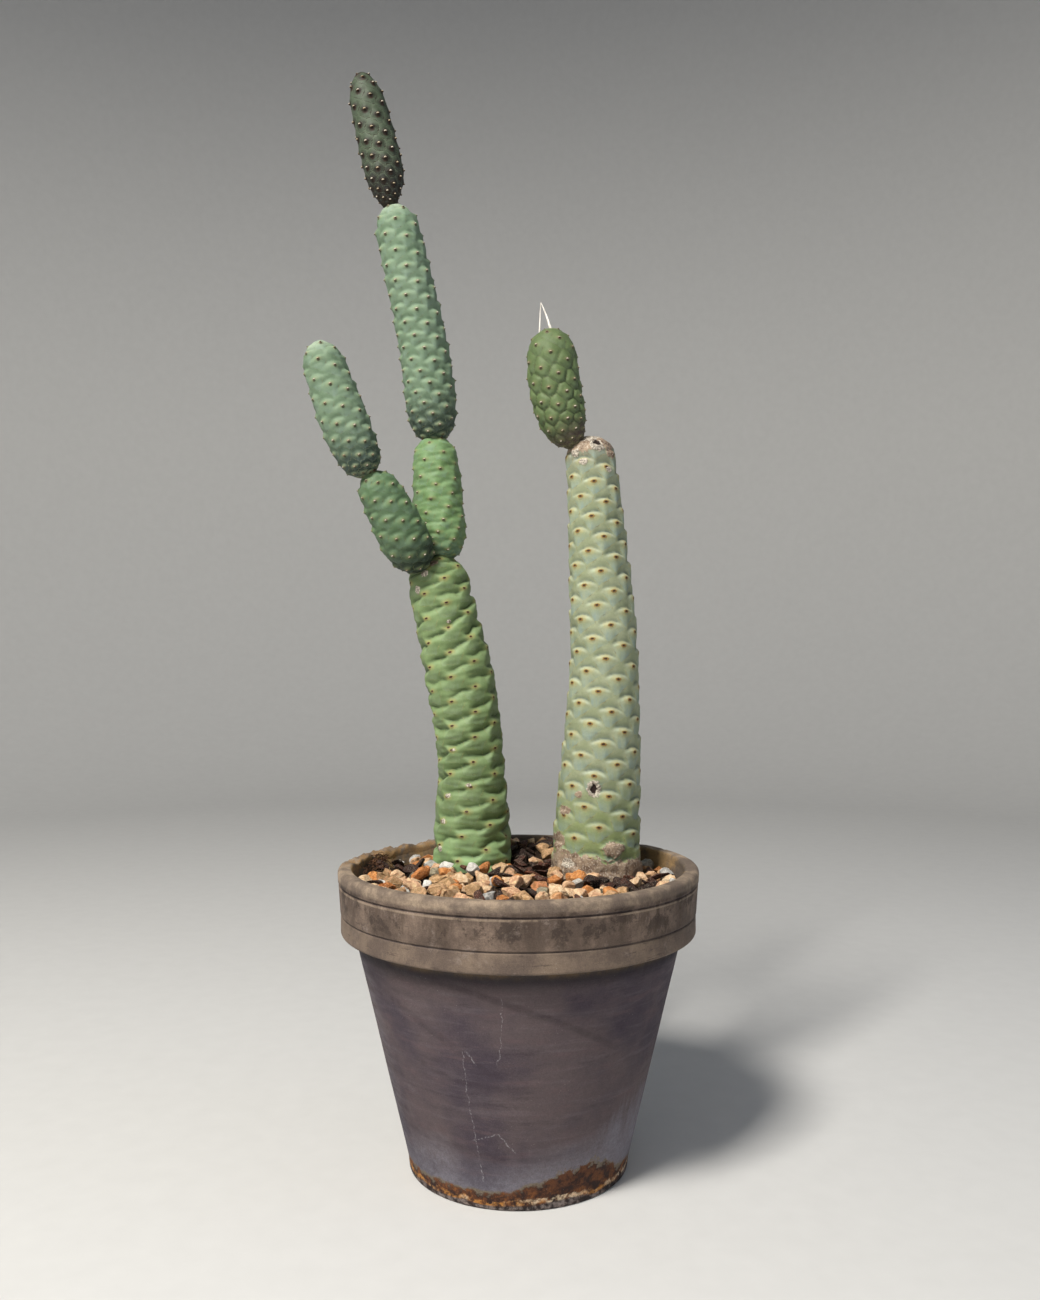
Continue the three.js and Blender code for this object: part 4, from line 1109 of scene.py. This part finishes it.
def felt():
    """The felt of the areoles: cream and fibrous, with painted shade in brown on the underside."""
    look, nodes, shader = material("areole_felt", roughness=0.9, specular=0.1)
    here = nodes.object_place()
    fine = nodes.noise(here, 1800.0, 3.0)
    tone = nodes.blend(nodes.attribute("tint", 2), 0.2, 0.9, "aea288", "cdc6b6")
    tone = nodes.mix(nodes.step(fine, 0.35, 0.6), nodes.over(tone, "6f5b43", 0.5), tone)
    # Painted shade: the lower half of each bead is darkened to brown.
    lower = nodes.total(nodes.attribute("under", 2), nodes.product(nodes.less(fine, 0.5), 0.8))
    tone = nodes.over(tone, "3b2719", nodes.step(lower, 0.0, 0.4))
    nodes.feed(shader.inputs["Base Color"], tone)
    bumped(nodes, shader, fine, 0.0003)
    return look


def collar(name, joint, way, thick):
    """The thin corky ring where a joint sits on the one below."""
    deselected()
    bpy.ops.mesh.primitive_torus_add(major_segments=72, minor_segments=10, major_radius=1, minor_radius=0.5)
    ring = bpy.context.object
    ring.name = name
    round_it = corners_of(ring)
    turn = np.arctan2(round_it[:, 1], round_it[:, 0])
    out = np.hypot(round_it[:, 0], round_it[:, 1]) - 1
    rough = noise_at(np.c_[np.cos(turn) * 2.5, np.sin(turn) * 2.5, out], 1.6, way)
    spots, _ = joint.point(turn, np.maximum(way + round_it[:, 2] * thick * 1.6, 0),
                           (out + 0.12 * rough) * thick - 0.5)
    spots[:, 0] += POT_X / MM
    put_corners(ring, spots * MM)
    bpy.ops.object.shade_smooth()
    ring.data.materials.append(CORK)
    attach(ring, "root")


def cork():
    """The dry brown cork of the necks."""
    look, nodes, shader = material("neck_cork", roughness=0.9, specular=0.15)
    fine = nodes.noise(nodes.object_place(), 900.0, 5.0, 0.7)
    nodes.feed(shader.inputs["Base Color"], nodes.blend(fine, 0.35, 0.66, "3f2a1f", "8a6a50"))
    bumped(nodes, shader, fine, 0.0006)
    return look


def softly_folded(u, v, order):
    return folded(u, v, order, reach=1.4, sag=0.1, above=0.3, below=0.2)


def softly_shingled(u, v, order):
    return shingled(u, v, order, arch=0.26, bends=(0.45, 0.5), above=0.42, below=0.155, ends=(0.8, 0.3))


def beaded(u, v, order, width, tall, net):
    """Round tubercles, each in its own cell, with a narrow crease between cells."""
    away = np.sqrt(u * u + (v / tall) ** 2)
    pair = np.argsort(away, axis=1)[:, :2]
    first = chosen(away, pair[:, 0])
    border = chosen(away, pair[:, 1]) - first
    height = np.minimum(eased(border, -0.12, width) - 1, 0)
    # The crease mask is for painted shade between the cells, and the crown mask for a painted highlight on
    # each tubercle.
    return height, eased(border, net, 0.0), eased(first, 0.3, 0.1), pair[:, 0]


def netted(u, v, order):
    return beaded(u, v, order, width=0.4, tall=1.1, net=0.22)


FELT = felt()
CORK = cork()


def joint_pieces(name, joint, around, step, colours, values, cushions, neck, roughness=0.6):
    """A joint's skin, the cushions on its areoles and the corky ring at its neck.

    Cushions are how far up the joint they start, and their half-width, half-height, depth and the
    spacing at which they are full-grown. The neck is how far up the ring lies, and how thick it is.
    """
    dressed(grown(f"{name}_skin", joint, around, step), f"segment_{name}", colours, values, roughness)
    areole_beads(f"{name}_areoles", joint, *cushions)
    collar(f"{name}_neck", joint, *neck)


mid_lower = Joint(
    [[-48.4, 44, 354.5], [-50.6, 47, 394], [-53.4, 48, 433]],
    [[0, 14.6], [0.3, 15.9], [0.6, 14.9], [1, 12.6]],
    base=0.22, tip=0.16, neck=0.44, spiral=(1.065, 0.42, 136.58, 182.1, 1),
    shape=softly_folded, depth=1.25, raised=0.4, bump=0.8, waver=2.4, wrinkled=0.5, waist=(0.3, 8))
joint_pieces("mid_lower", mid_lower, 130, 0.75,
             "769862 82a471 98b683 8eab9a 46603c 5f7a66 86a27c 9ba56e 87845a 3a2418",
             (18, 8, 0.7, 0.35, 1.9, 0.55, 0.4, 0.5, 0.35, 0.25),
             cushions=(6, (0.75, 0.5, 0.4, 10.0)), neck=(2.2, 1.1))

mid_long = Joint(
    [[-53.6, 48, 430.5], [-55.2, 47, 456], [-58.4, 45.5, 481], [-63, 43.5, 506], [-68.4, 41.5, 530],
     [-73.8, 40, 554], [-78.6, 39, 575]],
    [[0, 14.6], [0.2, 15.8], [0.5, 14.8], [0.85, 13.8], [1, 12.8]],
    base=0.15, tip=0.1, neck=0.46, spiral=(1.114, 0.36, 137.18, 31.9, -1),
    shape=softly_shingled, depth=1.95, raised=0.7, bump=0.8, waver=1.4, wrinkled=0.2, waist=(0.25, 8))
joint_pieces("mid_long", mid_long, 140, 0.75,
             "7b9678 869f83 a0b599 8da39a 4f6552 3c4c42 b0c2aa 9aa982 8d8a6c 3d2a1d",
             (34, 16, 0.75, 0.3, 1.8, 0.75, 0.4, 0.45, 0.42, 0.35),
             cushions=(6, (0.8, 0.5, 0.45, 10.5)), neck=(2.2, 1.0), roughness=0.65)

top = Joint(
    [[-79.8, 38.6, 572.5], [-83.6, 36.8, 596], [-89.2, 34.2, 620], [-97.4, 31.6, 654]],
    [[0, 10.6], [0.35, 12.2], [0.7, 11.2], [1, 9.4]],
    base=0.3, tip=0.24, neck=0.4, spiral=(0.79, 0.63, 98.97, 294.1, -1),
    shape=netted, depth=0.35, raised=0.0, bump=0.65, waver=0.0, wrinkled=0.1, waist=(0.5, 20),
    smooth_from=(0.45, 0.85))
# On this joint the cushion tone is dark and the shade below each areole is full and wide: painted shade
# round and under each bead.
joint_pieces("top", top, 120, 0.7,
             "485641 525f4d 626e58 5c685c 74836b 29252a 586551 2f2e25 2b2219 33241a",
             (34, 10, 1.25, 0.3, 2.6, 1.0, 0.25, 0.5, 0.2, 0.6),
             cushions=(5, (0.95, 0.72, 0.62, 7.6)), neck=(2.0, 0.9))


# The branch on the left: two joints that lean out to the front. The lower is softly folded, with painted
# shade darkening it where it sits on the trunk's shoulder; the upper is pale, with its white-tipped areoles
# crowded together at its base.
left_lower = Joint(
    [[-58.6, 31, 348.6], [-68.2, 23.5, 364], [-77, 18, 382], [-89.8, 12, 405]],
    [[0, 13.4], [0.36, 15.2], [0.7, 13.6], [1, 10.6]],
    base=0.3, tip=0.18, neck=0.4, spiral=(1.1, 0.17, 98.5, 289.2, -1),
    shape=softly_shingled, depth=1.4, raised=0.5, bump=0.8, waver=2.0, wrinkled=0.4, waist=(0.25, 8))
# Its very dark Low tone at the foot is painted shade, where the joint sits on the trunk's shoulder.
joint_pieces("left_lower", left_lower, 130, 0.75,
             "62805a 6e8a67 86a07a 7b9585 344a36 17231f 75906c 808f60 7a7658 3a2418",
             (30, 8, 0.7, 0.35, 1.9, 0.65, 0.4, 0.5, 0.3, 0.25),
             cushions=(6, (0.75, 0.5, 0.4, 10.0)), neck=(2.2, 1.0))

left_upper = Joint(
    [[-90, 12, 403], [-99.4, 9.8, 424], [-107.2, 8, 444], [-119.8, 5.6, 481.4]],
    [[0, 12.8], [0.4, 14.9], [0.7, 13.6], [1, 11.4]],
    base=0.26, tip=0.16, neck=0.6, spiral=(1.056, 0.64, 99.03, 291, -1),
    shape=softly_shingled, depth=1.25, raised=0.05, bump=0.75, waver=1.8, wrinkled=0.3, waist=(0.45, 8))
joint_pieces("left_upper", left_upper, 140, 0.72,
             "7a9476 869f82 a0b598 8da29c 4c614f 33453d b8c9b2 98a680 8a8668 3d2a1d",
             (33, 14, 0.72, 0.3, 1.8, 0.8, 0.4, 0.45, 0.4, 0.3),
             cushions=(5, (0.78, 0.5, 0.42, 10.0)), neck=(2.0, 0.9), roughness=0.65)


# The young joint on the right trunk's shoulder: deep green, with round tubercles outlined by creases in
# painted shade. Two dry papery spines stand up from its tip and cross.
def rounded_cells(u, v, order):
    return beaded(u, v, order, width=0.42, tall=1.0, net=0.07)


right_top = Joint(
    [[35.4, 17.6, 421.5], [28.4, 16.6, 433], [23.5, 15.4, 449], [20.2, 14, 471], [19.4, 13, 491]],
    [[0, 11.4], [0.35, 14.8], [0.65, 15], [1, 12.8]],
    base=0.3, tip=0.22, neck=0.38, spiral=(0.9, 0.55, 99.27, 209, -1),
    shape=rounded_cells, depth=1.5, raised=0.5, bump=0.6, waver=2.0, wrinkled=0.1, waist=(0.35, 12),
    smooth_from=(0.5, 0.85))
joint_pieces("right_top", right_top, 140, 0.72,
             "64784c 6f8356 819663 768873 333a26 5a4845 839163 80865a 84795e 33241a",
             (21, 8, 0.72, 0.35, 1.8, 0.75, 0.3, 0.5, 0.2, 0.7),
             cushions=(5, (0.8, 0.55, 0.45, 9.0)), neck=(2.0, 0.9))

SPINE_MEETING = Vector((13.4, 12.5, 506.8))
SPINES = (  # name, foot, half the width of the foot, and how far it bows
    ("left", Vector((12.6, 13.0, 484.5)), 0.62, -0.15), ("right", Vector((20.0, 12.2, 488.0)), 0.98, 0.5),
)
SPINE_STEPS = 12
SPINE_TIP = 0.2
SPINE_DEPTH = (0.3, 0.14)
paper_spine, nodes, shader = material("papery_spine", roughness=0.7, specular=0.2)
fibres = nodes.noise(nodes.object_place(), 1400.0, 3.0, 0.6, stretch=(1.0, 1.0, 0.12))
nodes.feed(shader.inputs["Base Color"], nodes.blend(fibres, 0.35, 0.65, "c4beb2", "efece6"))
bumped(nodes, shader, fibres, 0.0002)
for side, spine_foot, half_width, bow in SPINES:
    path = []
    for step in range(SPINE_STEPS + 1):
        share = step / SPINE_STEPS
        spot = spine_foot.lerp(SPINE_MEETING, share)
        path.append((spot.x + bow * math.sin(math.pi * share), spot.y, spot.z))
    spine = drawn_out(f"papery_spine_{side}", path, (half_width, SPINE_TIP), SPINE_DEPTH, 12, 36, 0.5)
    spine.data.materials.append(paper_spine)
    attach(spine, "root")


low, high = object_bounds()
